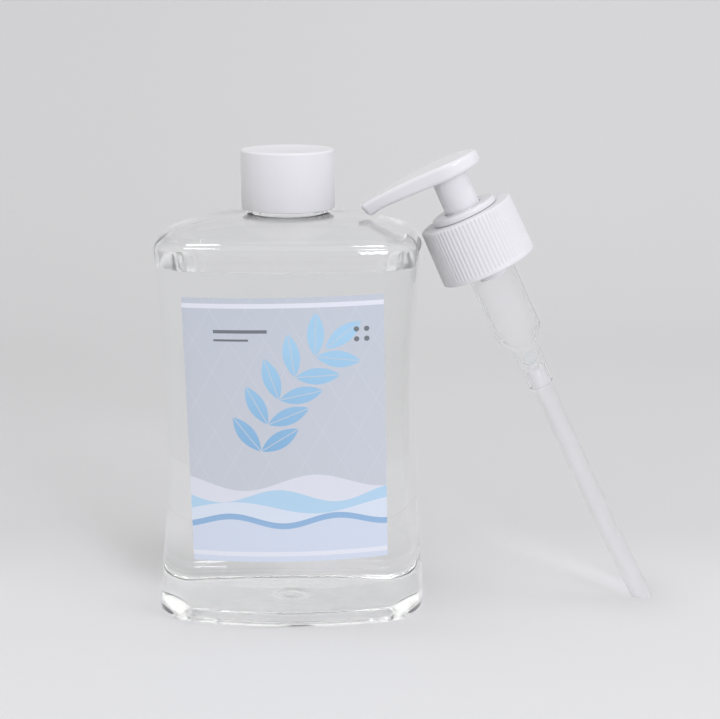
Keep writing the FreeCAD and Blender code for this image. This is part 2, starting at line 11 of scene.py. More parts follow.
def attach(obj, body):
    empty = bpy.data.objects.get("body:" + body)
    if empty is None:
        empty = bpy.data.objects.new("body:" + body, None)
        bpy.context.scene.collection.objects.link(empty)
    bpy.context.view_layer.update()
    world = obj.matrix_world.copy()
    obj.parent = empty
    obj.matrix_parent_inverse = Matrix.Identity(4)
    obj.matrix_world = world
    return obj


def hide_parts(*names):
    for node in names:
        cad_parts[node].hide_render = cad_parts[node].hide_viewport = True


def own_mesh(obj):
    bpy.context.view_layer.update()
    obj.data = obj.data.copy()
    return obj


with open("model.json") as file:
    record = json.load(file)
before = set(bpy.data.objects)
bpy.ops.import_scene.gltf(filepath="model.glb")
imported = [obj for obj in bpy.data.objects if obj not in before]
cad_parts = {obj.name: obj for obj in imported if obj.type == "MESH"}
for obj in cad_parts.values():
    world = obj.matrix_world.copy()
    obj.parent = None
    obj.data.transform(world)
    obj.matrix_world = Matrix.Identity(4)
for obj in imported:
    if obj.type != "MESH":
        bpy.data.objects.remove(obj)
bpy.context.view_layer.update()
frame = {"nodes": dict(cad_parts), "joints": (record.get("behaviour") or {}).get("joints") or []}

# Pump oil bottle: a clear waisted bottle of oil with its cap on, and its lotion pump leaning on it.
# Lengths are millimetres, as on the solids, and become metres where a mesh is made.
MM = 0.001
WELD = 1e-7  # metres; points closer than this become one

# Bottle body: heights, half widths and half depths of its sections
SECTION_HEIGHTS = (0.0, 26.0, 70.0, 127.0)
SECTION_HALF_WIDTHS = (46.2, 43.8, 41.9, 44.2)
SECTION_HALF_DEPTHS = (32.0, 31.2, 30.6, 31.4)
FRONT_RADIUS = 130.0
SIDE_RADIUS = 80.0
CORNER_RADIUS = 14.0
HEEL_RADIUS = 3.0
SHOULDER_ROUNDING = 3.3
SHOULDER_HEIGHT = SECTION_HEIGHTS[-1]
WALL = 1.2
BASE_THICKNESS = 5.0
INNER_HEEL_RADIUS = 6.0
PUSH_UP_DEPTH = 2.6
STANDING_RING = 7.0
PUSH_UP_SLOPE = 4.5
GATE_RADIUS = 5.0
GATE_HEIGHT = 0.35
GATE_MARKS = (  # shares of the radius and of the height
    (1.5, 0), (1.15, 0), (1.0, 1), (0.8, 1), (0.65, 0), (0.3, 0), (0.02, 0))
GATE_LEAST = 0.05
PUSH_UP_DOME = 0.4

# Domed shoulder and neck
DOME_HALF_WIDTH = 29.0
DOME_HALF_DEPTH = 21.5
DOME_SIDE_RADIUS = 40.0
DOME_FRONT_RADIUS = 55.0
DOME_CORNER_RADIUS = 15.0
DOME_HEIGHT = 131.9
DOME_SHARE = 0.53
NECK_FOOT = 133.8
NECK_RADIUS = 12.55
NECK_BORE = 10.8
NECK_TOP = 151.9
NECK_LIP = 0.5
NECK_FLARE = ((0.5, 0.1), (0.15, 0.35), (0.0, 0.8))  # out from the neck, up from its foot
NECK_STRAIGHT = 1.5
BORE_EDGE = 0.2
BORE_ENDS = (1.0, 0.5)  # down from the lip, up from the foot
BORE_FOOT_RISE = 0.15
ROUND_SPLIT = 0.02

# Oil and label
OIL_LEVEL = 118.5
OIL_GAP = 0.08
MENISCUS_HEIGHT = 0.5
MENISCUS_REACH = 1.0
MENISCUS_DEPTHS = (0.15, 0.4, 0.8, 1.3, 2.0, 3.0, 4.5, 6.5)
WET_TOP = OIL_LEVEL + MENISCUS_HEIGHT
SURFACE_TILT = 0.35
SURFACE_ROOM = 1.0
LABEL_WIDTH = 63.5
LABEL_HEIGHT = 87.6
LABEL_MIDDLE = 67.8
LABEL_TILT = math.radians(1.1)
LABEL_GAP = 0.1
LABEL_THICKNESS = 0.2

# Screw threads
THREAD_PITCH = 4.233
THREAD_DEPTH = 1.05
THREAD_FOOT_WIDTH = 2.3
THREAD_CREST_WIDTH = 0.9
THREAD_TURNS = 1.5
THREAD_STEPS = 96
THREAD_SINK = 0.06
THREAD_FADE = 6.0
THREAD_LEAST = 0.02
NECK_THREAD_FOOT = 139.0
COLLAR_THREAD_FOOT = 4.2

# Cap
CAP_FOOT = 135.4
CAP_TOP = 154.4
CAP_UNDERSIDE = 152.9
CAP_RADIUS = 15.25
CAP_BORE = 13.9
CAP_EDGE = 0.7
CAP_DISH = ((2.2, 0.02), (2.6, 0.12))  # in from the side, down from the top
RIM_EDGE = 0.3
INNER_EDGE = 0.4
SMALL_EDGE = 0.2
AXIS_GAP = 0.02

# Pump, along its own axis from the collar's lower rim
COLLAR_FOOT_RADIUS = 16.0
COLLAR_TOP_RADIUS = 15.6
COLLAR_HEIGHT = 19.0
COLLAR_BORE = 13.9
COLLAR_PANEL = 17.9
COLLAR_HOLE = 8.5
COLLAR_EDGE = 0.7
RIB_COUNT = 72
RIB_SAMPLES = 10
RIB_DEPTH = 0.25
RIB_HALF_WIDTH = 0.4
RIB_FOOT = 1.4
RIB_FADE = ((-0.25, 0), (0.0, 0.35), (0.25, 0.8), (0.6, 1))  # up from the ribs' foot, share of depth
RIB_MIDDLE = 10.0
DISC_RADIUS = 10.9
DISC_UNDERSIDE = 19.1
DISC_TOP = 21.2
DISC_EDGE = 0.9
CUP_BORE = 6.0
CUP_RADIUS = 7.1
CUP_FOOT = 4.6
CUP_FLOOR = 5.6
CUP_LIP = ((0.8, 0.0), (0.35, 0.06), (0.0, 0.5))  # out from the bore, down from the disc
STEM_HOLE = 2.7
HOUSING_BORE = 7.2
HOUSING_NECK = 8.4
FLANGE_RADIUS = 13.0
FLANGE_TOP = 17.8
FLANGE_BOTTOM = 16.3
LEDGE = 4.5
CHAMBER_BORE = 6.7
CHAMBER_RADIUS = 7.8
CHAMBER_FOOT = -25.0
CHAMBER_EDGE = (0.25, 0.6)
TAPER_FOOT = -30.0
TAPER_RADIUS = 4.4
TAPER_EDGE = (0.3, 0.5)
HOUSING_FOOT = -44.5
FOOT_RADIUS = 4.2
FOOT_BORE = 3.3
SOCKET_RADIUS = 3.35
SOCKET_TOP = -38.0
INLET_SEAT = -36.5
INLET_BORE = 1.5
FOOT_WALL = 0.9
TUBE_RADIUS = 3.3
TUBE_WALL = 0.7
TUBE_LENGTH = 84.9
TUBE_BOW = math.radians(2.1)
TUBE_SEAT_GAP = 0.1
TUBE_CUT_ROOM = 4.0
SPRING_FOOT = 5.7
SPRING_TOP = 32.5
SPRING_RADIUS = 3.6
SPRING_WIRE = 0.4
SPRING_TURNS = 8.0
SPRING_STEPS = 32
WIRE_SIDES = 10

# Pump head
SLEEVE_RADIUS = 5.9
SLEEVE_TOP_RADIUS = 5.8
SLEEVE_BORE = 4.6
SLEEVE_FOOT = 17.6
SLEEVE_FLARE = 0.9
FLARE_ARC = (180, 92)  # degrees
HEAD_UNDERSIDE = 32.6
HEAD_TIP_TOP = 36.1
HEAD_CROWN = 37.6
HEAD_HEEL_TOP = 36.9
PAD_RADIUS = 11.6
NOZZLE_REACH = 30.0
NOZZLE_LIP_BACK = 1.8
NOZZLE_DROOP = 0.8
NOZZLE_DROOP_START = -20.2
NOZZLE_HALF_WIDTH = 4.2
HEAD_EDGE = 1.35
TIP_CORNER = 1.6
LIP_START = 22.0
SPINE_SHORT = 4.0
HEAD_FLATS = (0.0, 0.35, 0.7, 0.9)
TOOL_OVERLAP = 1.0
OUTLET_RADIUS = 1.4
OUTLET_HEIGHT = 34.5
STEM_SOCKET = 2.65
STEM_TOP = 35.2

# Facets
FRONT_STEPS = 24
CORNER_STEPS = 18
SIDE_STEPS = 14
LATHE_STEPS = 128
CAP_STEPS = 160
SLEEVE_STEPS = 96
OUTLET_STEPS = 32
SOCKET_STEPS = 48
FILLET_STEPS = 8
RIM_STEPS = 4
LIP_STEPS = 5
FLARE_STEPS = 6
SLOPE_STEPS = 8
HEEL_STEPS = 10
SHOULDER_STEPS = 13
DOME_RINGS = 64
WALL_RINGS = 68
INNER_WALL_RINGS = 64
OIL_RINGS = 56
HEADSPACE_RINGS = 5
NECK_RINGS = 8
BORE_RINGS = 6
GATE_SHARES = (0.85, 0.6, 0.4)
FLOOR_SHARES = (0.9, 0.7, 0.5, 0.3, 0.1, 0.004)
OIL_FLOOR_SHARES = (0.004, 0.2, 0.5, 0.8)
OIL_TOP_SHARES = (0.9, 0.6, 0.3, 0.004)
LABEL_COLUMNS = 72
LABEL_ROWS = 40
TUBE_SIDES = 48
TUBE_RINGS = 40
PAD_STEPS = 73
FLANK_STEPS = 30
TIP_STEPS = 9
TIP_FLAT_STEPS = 5
HEAD_EDGE_STEPS = 9
SMOOTH_ANGLE = 40.0
HEAD_SMOOTH_ANGLE = 38.0
RIB_SMOOTH_ANGLE = 60.0
HOUSING_SMOOTH_ANGLE = 30.0

# The pump's own frame, from its joints
JOINTS = {joint["name"]: joint for joint in frame["joints"]}
PUMP_AXIS = Vector(JOINTS["collar_spin"]["axis"]).normalized()
PUMP_ORIGIN = Vector(JOINTS["collar_spin"]["pos_m"])
PUMP_SIDE = Vector((0, 1, 0)).cross(PUMP_AXIS).normalized()
PUMP_MATRIX = Matrix.Translation(PUMP_ORIGIN) @ Matrix((
    (PUMP_SIDE.x, 0, PUMP_AXIS.x),
    (PUMP_SIDE.y, 1, PUMP_AXIS.y),
    (PUMP_SIDE.z, 0, PUMP_AXIS.z),
)).to_4x4()


# Mesh helpers

def add(name, data):
    """A new object of the scene, with the given data."""
    made = bpy.data.objects.new(name, data)
    bpy.context.scene.collection.objects.link(made)
    return made


def place(name, verts, faces, matrix=None, smooth_angle=SMOOTH_ANGLE):
    """An object from millimetre points, turned into metres and set in the part's frame."""
    mesh = bpy.data.meshes.new(name)
    mesh.from_pydata([tuple(v) for v in np.asarray(verts) * MM], [], [tuple(f) for f in faces])
    if matrix is not None:
        mesh.transform(matrix)
    work = bmesh.new()
    work.from_mesh(mesh)
    bmesh.ops.remove_doubles(work, verts=work.verts, dist=WELD)
    bmesh.ops.recalc_face_normals(work, faces=work.faces)
    work.to_mesh(mesh)
    work.free()
    mesh.shade_smooth()
    mesh.set_sharp_from_angle(angle=math.radians(smooth_angle))
    return add(name, mesh)


def skin(rings, close_start=False, close_end=False, wrap=False):
    """Points and quads of a skin over closed rings that all have as many points."""
    rings = [np.asarray(r, float) for r in rings]
    count = len(rings[0])
    verts = np.concatenate(rings)
    faces = []
    last = len(rings) if wrap else len(rings) - 1
    for i in range(last):
        a = i * count
        b = ((i + 1) % len(rings)) * count
        for j in range(count):
            k = (j + 1) % count
            faces.append((a + j, a + k, b + k, b + j))
    if close_start:
        faces.append(tuple(range(count))[::-1])
    if close_end:
        faces.append(tuple(range((len(rings) - 1) * count, len(rings) * count)))
    return verts, faces


def around(steps):
    """Even angles of a full turn."""
    return np.linspace(0, 2 * math.pi, steps, endpoint=False)


def level_ring(radius, angles, height):
    """Points round the axis at one height; the radius is a number or one for each angle."""
    return np.stack([radius * np.cos(angles), radius * np.sin(angles), np.full(len(angles), height)], 1)


def lathe(profile, steps=LATHE_STEPS):
    """Points and faces of a profile of (radius, height) points turned once about the axis."""
    return skin([level_ring(r, around(steps), z) for r, z in profile], wrap=True)


def arc(centre, radius, start, end, steps=FILLET_STEPS):
    """Points on an arc in the (radius, height) plane, angles in degrees."""
    angles = np.radians(np.linspace(start, end, steps + 1))
    return [(centre[0] + radius * math.cos(a), centre[1] + radius * math.sin(a)) for a in angles]


def thread(radius, outward, foot, name, matrix=None):
    """A screw thread's ridge, running up a right-hand helix and fading out at both ends."""
    rings = []
    steps = int(THREAD_STEPS * THREAD_TURNS)
    for i in range(steps + 1):
        turn = i / THREAD_STEPS
        angle = 2 * math.pi * turn
        fade = min(1.0, THREAD_FADE * turn, THREAD_FADE * (THREAD_TURNS - turn))
        height = foot + THREAD_PITCH * turn
        crest = radius + outward * THREAD_DEPTH * max(fade, THREAD_LEAST)
        root = radius - outward * THREAD_SINK
        section = (
            (root, -THREAD_FOOT_WIDTH / 2), (crest, -THREAD_CREST_WIDTH / 2),
            (crest, THREAD_CREST_WIDTH / 2), (root, THREAD_FOOT_WIDTH / 2),
        )
        rings.append([(r * math.cos(angle), r * math.sin(angle), height + z) for r, z in section])
    return place(name, *skin(rings, close_start=True, close_end=True), matrix)


# Node helpers

def new_material(name):
    material = bpy.data.materials.new(name)
    material.use_nodes = True
    tree = material.node_tree
    return material, tree, tree.nodes["Principled BSDF"]


def settle(made, **inputs):
    """Sets a node's inputs, named with _ for a space."""
    for key, value in inputs.items():
        made.inputs[key.replace("_", " ")].default_value = value
    return made


def node(tree, kind, **inputs):
    return settle(tree.nodes.new(kind), **inputs)


def feed(tree, value, socket):
    """Sets a socket to a number or a colour, or links another socket to it."""
    if isinstance(value, (int, float)):
        socket.default_value = value
    elif isinstance(value, tuple):
        socket.default_value = (*value, 1.0)
    else:
        tree.links.new(value, socket)


def calc(tree, operation, a, b=0.0, c=0.0, clamp=False):
    made = tree.nodes.new("ShaderNodeMath")
    made.operation = operation
    made.use_clamp = clamp
    for value, socket in zip((a, b, c), made.inputs):
        feed(tree, value, socket)
    return made.outputs[0]


def blend(tree, share, first, second):
    """Colour that goes from first to second with share; each is a colour or a socket."""
    made = tree.nodes.new("ShaderNodeMix")
    made.data_type = "RGBA"
    feed(tree, share, made.inputs["Factor"])
    feed(tree, first, made.inputs[6])
    feed(tree, second, made.inputs[7])
    return made.outputs[2]


def noise(tree, scale, detail=3.0):
    coords = tree.nodes.new("ShaderNodeTexCoord")
    made = node(tree, "ShaderNodeTexNoise", Scale=scale, Detail=detail)
    tree.links.new(coords.outputs["Object"], made.inputs["Vector"])
    return made.outputs["Fac"]


def spread(tree, value, low, high):
    """Maps a 0 to 1 value to a range."""
    return calc(tree, "MULTIPLY_ADD", value, high - low, low)


def paint(tree, shader, colour, rough):
    tree.links.new(colour, shader.inputs["Base Color"])
    tree.links.new(rough, shader.inputs["Roughness"])


def bump(tree, shader, height, strength, distance):
    made = node(tree, "ShaderNodeBump", Strength=strength, Distance=distance)
    tree.links.new(height, made.inputs["Height"])
    tree.links.new(made.outputs["Normal"], shader.inputs["Normal"])


# Materials

# Sizes of the noise that varies colour, gloss and surface, and the depth of its bumps in metres
CLOUD_SCALE = 55.0
SATIN_SCALE = 240.0
GRAIN_SCALE = 2600.0
GRAIN_DEPTH = 0.00004
GRAIN_DETAIL = 2.0
TINT_SCALE = 40.0
HAZE_SCALE = 160.0
WAVE_SCALE = 70.0
WAVE_DEPTH = 0.0002
WAVE_DETAIL = 1.0
WIRE_SCALE = 900.0
FILM_SCALE = 900.0
FILM_DEPTH = 0.00005
FILM_DETAIL = 4.0
SKIN_GLOW = 0.12
SKIN_GLOW_REACH = (0.0012, 0.0012, 0.0013)
LAMP_SHARE = 0.97


def moulded_plastic(name, colours, rough, grain, grain_scale=GRAIN_SCALE):
    """Opaque moulded plastic: faint flow clouding, a satin skin and a fine moulded grain."""
    material, tree, shader = new_material(name)
    clouds = blend(tree, noise(tree, CLOUD_SCALE), *colours)
    paint(tree, shader, clouds, spread(tree, noise(tree, SATIN_SCALE), *rough))
    bump(tree, shader, noise(tree, grain_scale, GRAIN_DETAIL), grain, GRAIN_DEPTH)
    settle(shader, Subsurface_Weight=SKIN_GLOW, Subsurface_Radius=SKIN_GLOW_REACH)
    return material


def clear_plastic(name, colours, ior, rough, clear=1.0, wave=0.0, gloss=0.0):
    """Clear or milky plastic or oil: light passes, with slow waves in a blown wall."""
    material, tree, shader = new_material(name)
    settle(shader, Transmission_Weight=clear, IOR=ior, Coat_Weight=gloss)
    tint = blend(tree, noise(tree, TINT_SCALE), *colours)
    paint(tree, shader, tint, spread(tree, noise(tree, HAZE_SCALE), *rough))
    if wave:
        bump(tree, shader, noise(tree, WAVE_SCALE, WAVE_DETAIL), wave, WAVE_DEPTH)
    let_lamps_through(tree, shader)
    return material


def let_lamps_through(tree, shader):
    """Rays from lamps pass the clear wall, so that what stands behind it isn't in a black shadow."""
    output = tree.nodes["Material Output"]
    path = tree.nodes.new("ShaderNodeLightPath")
    through = node(tree, "ShaderNodeBsdfTransparent", Color=(LAMP_SHARE, LAMP_SHARE, LAMP_SHARE, 1.0))
    mixed = tree.nodes.new("ShaderNodeMixShader")
    tree.links.new(path.outputs["Is Shadow Ray"], mixed.inputs[0])
    tree.links.new(shader.outputs[0], mixed.inputs[1])
    tree.links.new(through.outputs[0], mixed.inputs[2])
    tree.links.new(mixed.outputs[0], output.inputs["Surface"])


STEEL = ((0.52, 0.52, 0.53), (0.66, 0.66, 0.67))
STEEL_ROUGH = (0.22, 0.38)


def wire_steel():
    """Drawn spring wire, with faint streaks in its colour and shine."""
    material, tree, shader = new_material("spring_wire")
    drawn = noise(tree, WIRE_SCALE)
    paint(tree, shader, blend(tree, drawn, *STEEL), spread(tree, drawn, *STEEL_ROUGH))
    settle(shader, Metallic=1.0)
    return material


def label_axes(tree):
    """Millimetre coordinates on the label, from its middle: across, up."""
    coords = tree.nodes.new("ShaderNodeUVMap")
    coords.uv_map = "print"
    parts = tree.nodes.new("ShaderNodeSeparateXYZ")
    tree.links.new(coords.outputs[0], parts.inputs[0])
    across = calc(tree, "MULTIPLY_ADD", parts.outputs[0], LABEL_WIDTH, -LABEL_WIDTH / 2)
    up = calc(tree, "MULTIPLY_ADD", parts.outputs[1], LABEL_HEIGHT, -LABEL_HEIGHT / 2)
    return across, up


# The label's own print, in millimetres from its middle
PRINT_EDGE = 9.0  # steepness of the print's edges
GROUND_TOP = (0.520, 0.560, 0.625)
GROUND_FOOT = (0.545, 0.575, 0.625)
PRINT_WHITE = (0.74, 0.76, 0.83)
PRINT_BLUE = (0.115, 0.330, 0.600)
PRINT_SKY = (0.330, 0.590, 0.800)
PRINT_GREY = (0.145, 0.160, 0.180)
RULE_HALF_WIDTH = 0.75
RULE_INSET = 2.6
LATTICE_PITCH = 11.5
LATTICE_SLOPE = 0.577
LATTICE_HALF_WIDTH = 0.16
LATTICE_SHARE = 0.16
DUNE_SHARE = 0.72
DUNES = (  # middle height, rise, wave length, phase, colour
    (-17.0, 2.6, 46.0, 0.4, PRINT_WHITE),
    (-21.5, 2.2, 38.0, 2.1, PRINT_SKY),
    (-25.5, 2.0, 52.0, 3.6, PRINT_WHITE),
    (-29.0, 1.6, 34.0, 5.0, PRINT_BLUE),
    (-31.0, 1.6, 34.0, 5.0, PRINT_WHITE),
)
SPRIG_FOOT = (-9.0, -12.0)
SPRIG_TOP = (13.0, 27.0)
SPRIG_BOW = 5.0
SPRIG_PAIRS = 5
LEAF_LENGTH = 7.2
LEAF_WIDTH = 2.7
LEAF_SPLAY = math.radians(48.0)
LEAF_SHARE = 0.9
MIDRIB_HALF_WIDTH = 0.14
FIRST_PAIR = 0.6
INK_RUN = 50.0
INK_START = 0.42
FILM_ROUGH = (0.34, 0.48)
FILM_BUMP = 0.12
FILM_FLECK = 0.05
BARS = (  # left end, height, length, half thickness
    (-22.0, 33.0, 17.0, 0.55),
    (-22.0, 30.2, 11.0, 0.35),
)
DOTS = ((23.0, 33.0), (26.2, 33.0), (23.0, 29.8), (26.2, 29.8))
DOT_RADIUS = 0.85


def inside(do, margin):
    """Print mask from a signed margin in millimetres, positive inside."""
    return do("MULTIPLY_ADD", margin, PRINT_EDGE, 0.5, clamp=True)


def apart(do, value, middle):
    """Distance of a coordinate from a middle."""
    return do("ABSOLUTE", do("SUBTRACT", value, middle))


def leaf_mask(do, across, up, foot, angle):
    """A pointed leaf that starts at foot and points along angle, with a bare midrib."""
    dx = do("SUBTRACT", across, foot[0] + LEAF_LENGTH * math.cos(angle))
    dy = do("SUBTRACT", up, foot[1] + LEAF_LENGTH * math.sin(angle))
    along = do("MULTIPLY_ADD", dx, math.cos(angle), do("MULTIPLY", dy, math.sin(angle)))
    aside = do("MULTIPLY_ADD", dy, math.cos(angle), do("MULTIPLY", dx, -math.sin(angle)))
    aside = do("ABSOLUTE", aside)
    share = do("MULTIPLY", along, 1 / LEAF_LENGTH)
    width = do("MULTIPLY_ADD", do("MULTIPLY", share, share), -LEAF_WIDTH, LEAF_WIDTH)
    blade = inside(do, do("SUBTRACT", width, aside))
    rib = inside(do, do("SUBTRACT", aside, MIDRIB_HALF_WIDTH))
    return do("MULTIPLY", blade, rib)


def sprig_point(t):
    """Point on the bowed stalk and its direction."""
    span = (SPRIG_TOP[0] - SPRIG_FOOT[0], SPRIG_TOP[1] - SPRIG_FOOT[1])
    length = math.hypot(*span)
    side = (-span[1] / length, span[0] / length)
    bow = 4 * SPRIG_BOW * t * (1 - t)
    lean = 4 * SPRIG_BOW * (1 - 2 * t)
    point = (SPRIG_FOOT[0] + span[0] * t + side[0] * bow, SPRIG_FOOT[1] + span[1] * t + side[1] * bow)
    heading = math.atan2(span[1] + side[1] * lean, span[0] + side[0] * lean)
    return point, heading


def label_material():
    """Printed film: a pale ground with a faint lattice, a leafy sprig, soft dunes and plain rules."""
    material, tree, shader = new_material("label_print")
    do = partial(calc, tree)
    across, up = label_axes(tree)
    height_share = do("MULTIPLY_ADD", up, 1 / LABEL_HEIGHT, 0.5)
    colour = blend(tree, height_share, GROUND_FOOT, GROUND_TOP)
    for slope in (1.0, -1.0):
        slant = do("MULTIPLY_ADD", across, slope, do("MULTIPLY", up, LATTICE_SLOPE))
        turn = do("PINGPONG", slant, LATTICE_PITCH / 2)
        line = inside(do, do("SUBTRACT", LATTICE_HALF_WIDTH, turn))
        colour = blend(tree, do("MULTIPLY", line, LATTICE_SHARE), colour, PRINT_WHITE)
    for middle, rise, length, phase, ink in DUNES:
        wave = do("SINE", do("MULTIPLY_ADD", across, 2 * math.pi / length, phase))
        crest = do("MULTIPLY_ADD", wave, rise, middle)
        mask = inside(do, do("SUBTRACT", crest, up))
        colour = blend(tree, do("MULTIPLY", mask, DUNE_SHARE), colour, ink)
    leaves = None
    for pair in range(SPRIG_PAIRS):
        foot, heading = sprig_point((pair + FIRST_PAIR) / SPRIG_PAIRS)
        for side in (-1, 1):
            mask = leaf_mask(do, across, up, foot, heading + side * LEAF_SPLAY)
            leaves = mask if leaves is None else do("MAXIMUM", leaves, mask)
    tip, heading = sprig_point(1.0)
    leaves = do("MAXIMUM", leaves, leaf_mask(do, across, up, tip, heading))
    lightness = do("MULTIPLY_ADD", up, 1 / INK_RUN, INK_START, clamp=True)
    ink = blend(tree, lightness, PRINT_BLUE, PRINT_SKY)
    colour = blend(tree, do("MULTIPLY", leaves, LEAF_SHARE), colour, ink)
    for x, y, width, half_height in BARS:
        flat = do("SUBTRACT", width / 2, apart(do, across, x + width / 2))
        tall = do("SUBTRACT", half_height, apart(do, up, y))
        mask = inside(do, do("MINIMUM", flat, tall))
        colour = blend(tree, mask, colour, PRINT_GREY)
    for x, y in DOTS:
        squares = [do("POWER", apart(do, *pair), 2.0) for pair in ((across, x), (up, y))]
        reach = do("SQRT", do("ADD", *squares))
        colour = blend(tree, inside(do, do("SUBTRACT", DOT_RADIUS, reach)), colour, PRINT_GREY)
    edge = do("SUBTRACT", LABEL_HEIGHT / 2 - RULE_INSET, do("ABSOLUTE", up))
    rule = inside(do, do("SUBTRACT", RULE_HALF_WIDTH, do("ABSOLUTE", edge)))
    colour = blend(tree, rule, colour, PRINT_WHITE)
    grain = noise(tree, FILM_SCALE, FILM_DETAIL)
    colour = blend(tree, do("MULTIPLY", grain, FILM_FLECK), colour, PRINT_WHITE)
    paint(tree, shader, colour, spread(tree, grain, *FILM_ROUGH))
    bump(tree, shader, grain, FILM_BUMP, FILM_DEPTH)
    return material


# Each pair of colours is what the noise blends between. The filled part of the bottle bends light as one
# body with the oil, so the faces where wall and oil meet don't bend it at all.
WHITE = (0.752, 0.748, 0.770)
WHITES = (WHITE, (0.732, 0.728, 0.748))
GLOSSY_WHITES = ((0.768, 0.764, 0.784), WHITE)
PET_TINTS = ((1.0, 1.0, 1.0), (0.99, 0.996, 0.996))
OIL_TINTS = ((1.0, 1.0, 0.995), (0.996, 0.996, 0.99))
DRY_IOR = 1.25
FULL_IOR = 1.40
NO_BEND = 1.0
PET_ROUGH = (0.0, 0.02)
WAVE = 0.05
OIL_ROUGH = (0.0, 0.01)
CAP_WHITE = moulded_plastic("cap_white", WHITES, (0.40, 0.50), 0.10)
HEAD_WHITE = moulded_plastic("head_white", GLOSSY_WHITES, (0.10, 0.15), 0.02)
COLLAR_WHITE = moulded_plastic("collar_white", WHITES, (0.34, 0.44), 0.08)
SEAL_WHITE = moulded_plastic("seal_soft", ((0.74, 0.74, 0.72), (0.70, 0.70, 0.68)), (0.45, 0.6), 0.1)
FOAM = moulded_plastic("foam", ((0.78, 0.78, 0.76), (0.68, 0.68, 0.66)), (0.7, 0.9), 0.6, 1400.0)
PET = clear_plastic("clear_pet", PET_TINTS, DRY_IOR, PET_ROUGH, wave=WAVE, gloss=1.0)
PET_FULL = clear_plastic("clear_pet_full", PET_TINTS, FULL_IOR, PET_ROUGH, wave=WAVE, gloss=1.0)
PET_WET = clear_plastic("clear_pet_wet", PET_TINTS, NO_BEND, PET_ROUGH, wave=WAVE)
OIL_TOP = clear_plastic("oil_surface", OIL_TINTS, DRY_IOR, OIL_ROUGH)
OIL_SIDE = clear_plastic("oil_side", OIL_TINTS, NO_BEND, OIL_ROUGH)
PP_CLEAR = clear_plastic(
    "housing_clear", ((0.985, 0.985, 0.988), (0.960, 0.960, 0.965)), 1.06, (0.18, 0.26), clear=0.94)
PP_TUBE = clear_plastic(
    "tube_clear", ((0.955, 0.955, 0.958), (0.930, 0.930, 0.935)), 1.07, (0.30, 0.40), clear=0.90)
BALL_GLASS = clear_plastic(
    "ball_glass", ((0.93, 0.96, 0.95), (0.90, 0.94, 0.93)), 1.52, (0.02, 0.06), wave=WAVE)
WIRE = wire_steel()
LABEL = label_material()
LABEL_BACK = moulded_plastic("label_back", ((0.80, 0.80, 0.81), (0.75, 0.75, 0.76)), (0.5, 0.62), 0.1)


# Plan outlines of the bottle

def quarter_outline(half_width, half_depth, front_r, side_r, corner_r):
    """Points from the middle of the front to the middle of the right side, on three tangent arcs."""
    front_y = front_r - half_depth
    side_x = half_width - side_r
    span = math.hypot(side_x, front_y)
    reach_front = front_r - corner_r
    reach_side = side_r - corner_r
    along = (reach_front ** 2 - reach_side ** 2 + span ** 2) / (2 * span)
    across = math.sqrt(reach_front ** 2 - along ** 2)
    ux = side_x / span
    uy = -front_y / span
    cx = along * ux - across * uy
    cy = front_y + along * uy + across * ux
    lean_front = math.atan2(cx, front_y - cy)
    lean_side = math.atan2(-cy, cx - side_x)
    a = np.linspace(0, lean_front, FRONT_STEPS, endpoint=False)
    b = np.linspace(lean_front, math.pi / 2 - lean_side, CORNER_STEPS, endpoint=False)
    c = np.linspace(-lean_side, 0, SIDE_STEPS + 1)
    x = np.concatenate([front_r * np.sin(a), cx + corner_r * np.sin(b), side_x + side_r * np.cos(c)])
    y = np.concatenate([front_y - front_r * np.cos(a), cy - corner_r * np.cos(b), side_r * np.sin(c)])
    return np.stack([x, y], 1)


def ring(quarter, z):
    """The whole closed outline at a height, from one quarter of it."""
    right_back = (quarter * (1, -1))[::-1]
    left_front = (quarter * (-1, 1))[::-1]
    plan = np.concatenate([quarter[:-1], right_back[:-1], (-quarter)[:-1], left_front[:-1]])
    return np.column_stack([plan, np.full(len(plan), z)])


@lru_cache(maxsize=None)
def curve(heights, values):
    """The lowest curve through the given points."""
    return np.polyfit(heights, values, len(heights) - 1)


def through(heights, values, z):
    """Value at z on the lowest curve through the given points."""
    return float(np.polyval(curve(heights, values), z))


def body_quarter(inset, z, floor=0.0):
    """Outline of the bottle's wall at a height, drawn in by the inset."""
    heights = (floor, *SECTION_HEIGHTS[1:-1], SHOULDER_HEIGHT - inset)
    half_width = through(heights, SECTION_HALF_WIDTHS, z) - inset
    half_depth = through(heights, SECTION_HALF_DEPTHS, z) - inset
    return quarter_outline(
        half_width, half_depth, FRONT_RADIUS - inset, SIDE_RADIUS - inset, CORNER_RADIUS - inset)


def body_ring(inset, z, floor=0.0, draw_in=0.0):
    """The wall's closed outline at a height, drawn in further where the heel or the base rounds it."""
    quarter = body_quarter(inset, max(z, floor), floor)
    if draw_in:
        half_width = quarter[-1][0]
        half_depth = -quarter[0][1]
        total = inset + draw_in
        quarter = quarter_outline(
            half_width - draw_in, half_depth - draw_in,
            FRONT_RADIUS - total, SIDE_RADIUS - total, CORNER_RADIUS - total)
    return ring(quarter, z)


def round_ring(radius, z):
    """A circle with as many points as the bottle's outlines, in the same order."""
    wide = radius + ROUND_SPLIT
    return ring(quarter_outline(radius, radius, wide, wide, radius - ROUND_SPLIT), z)


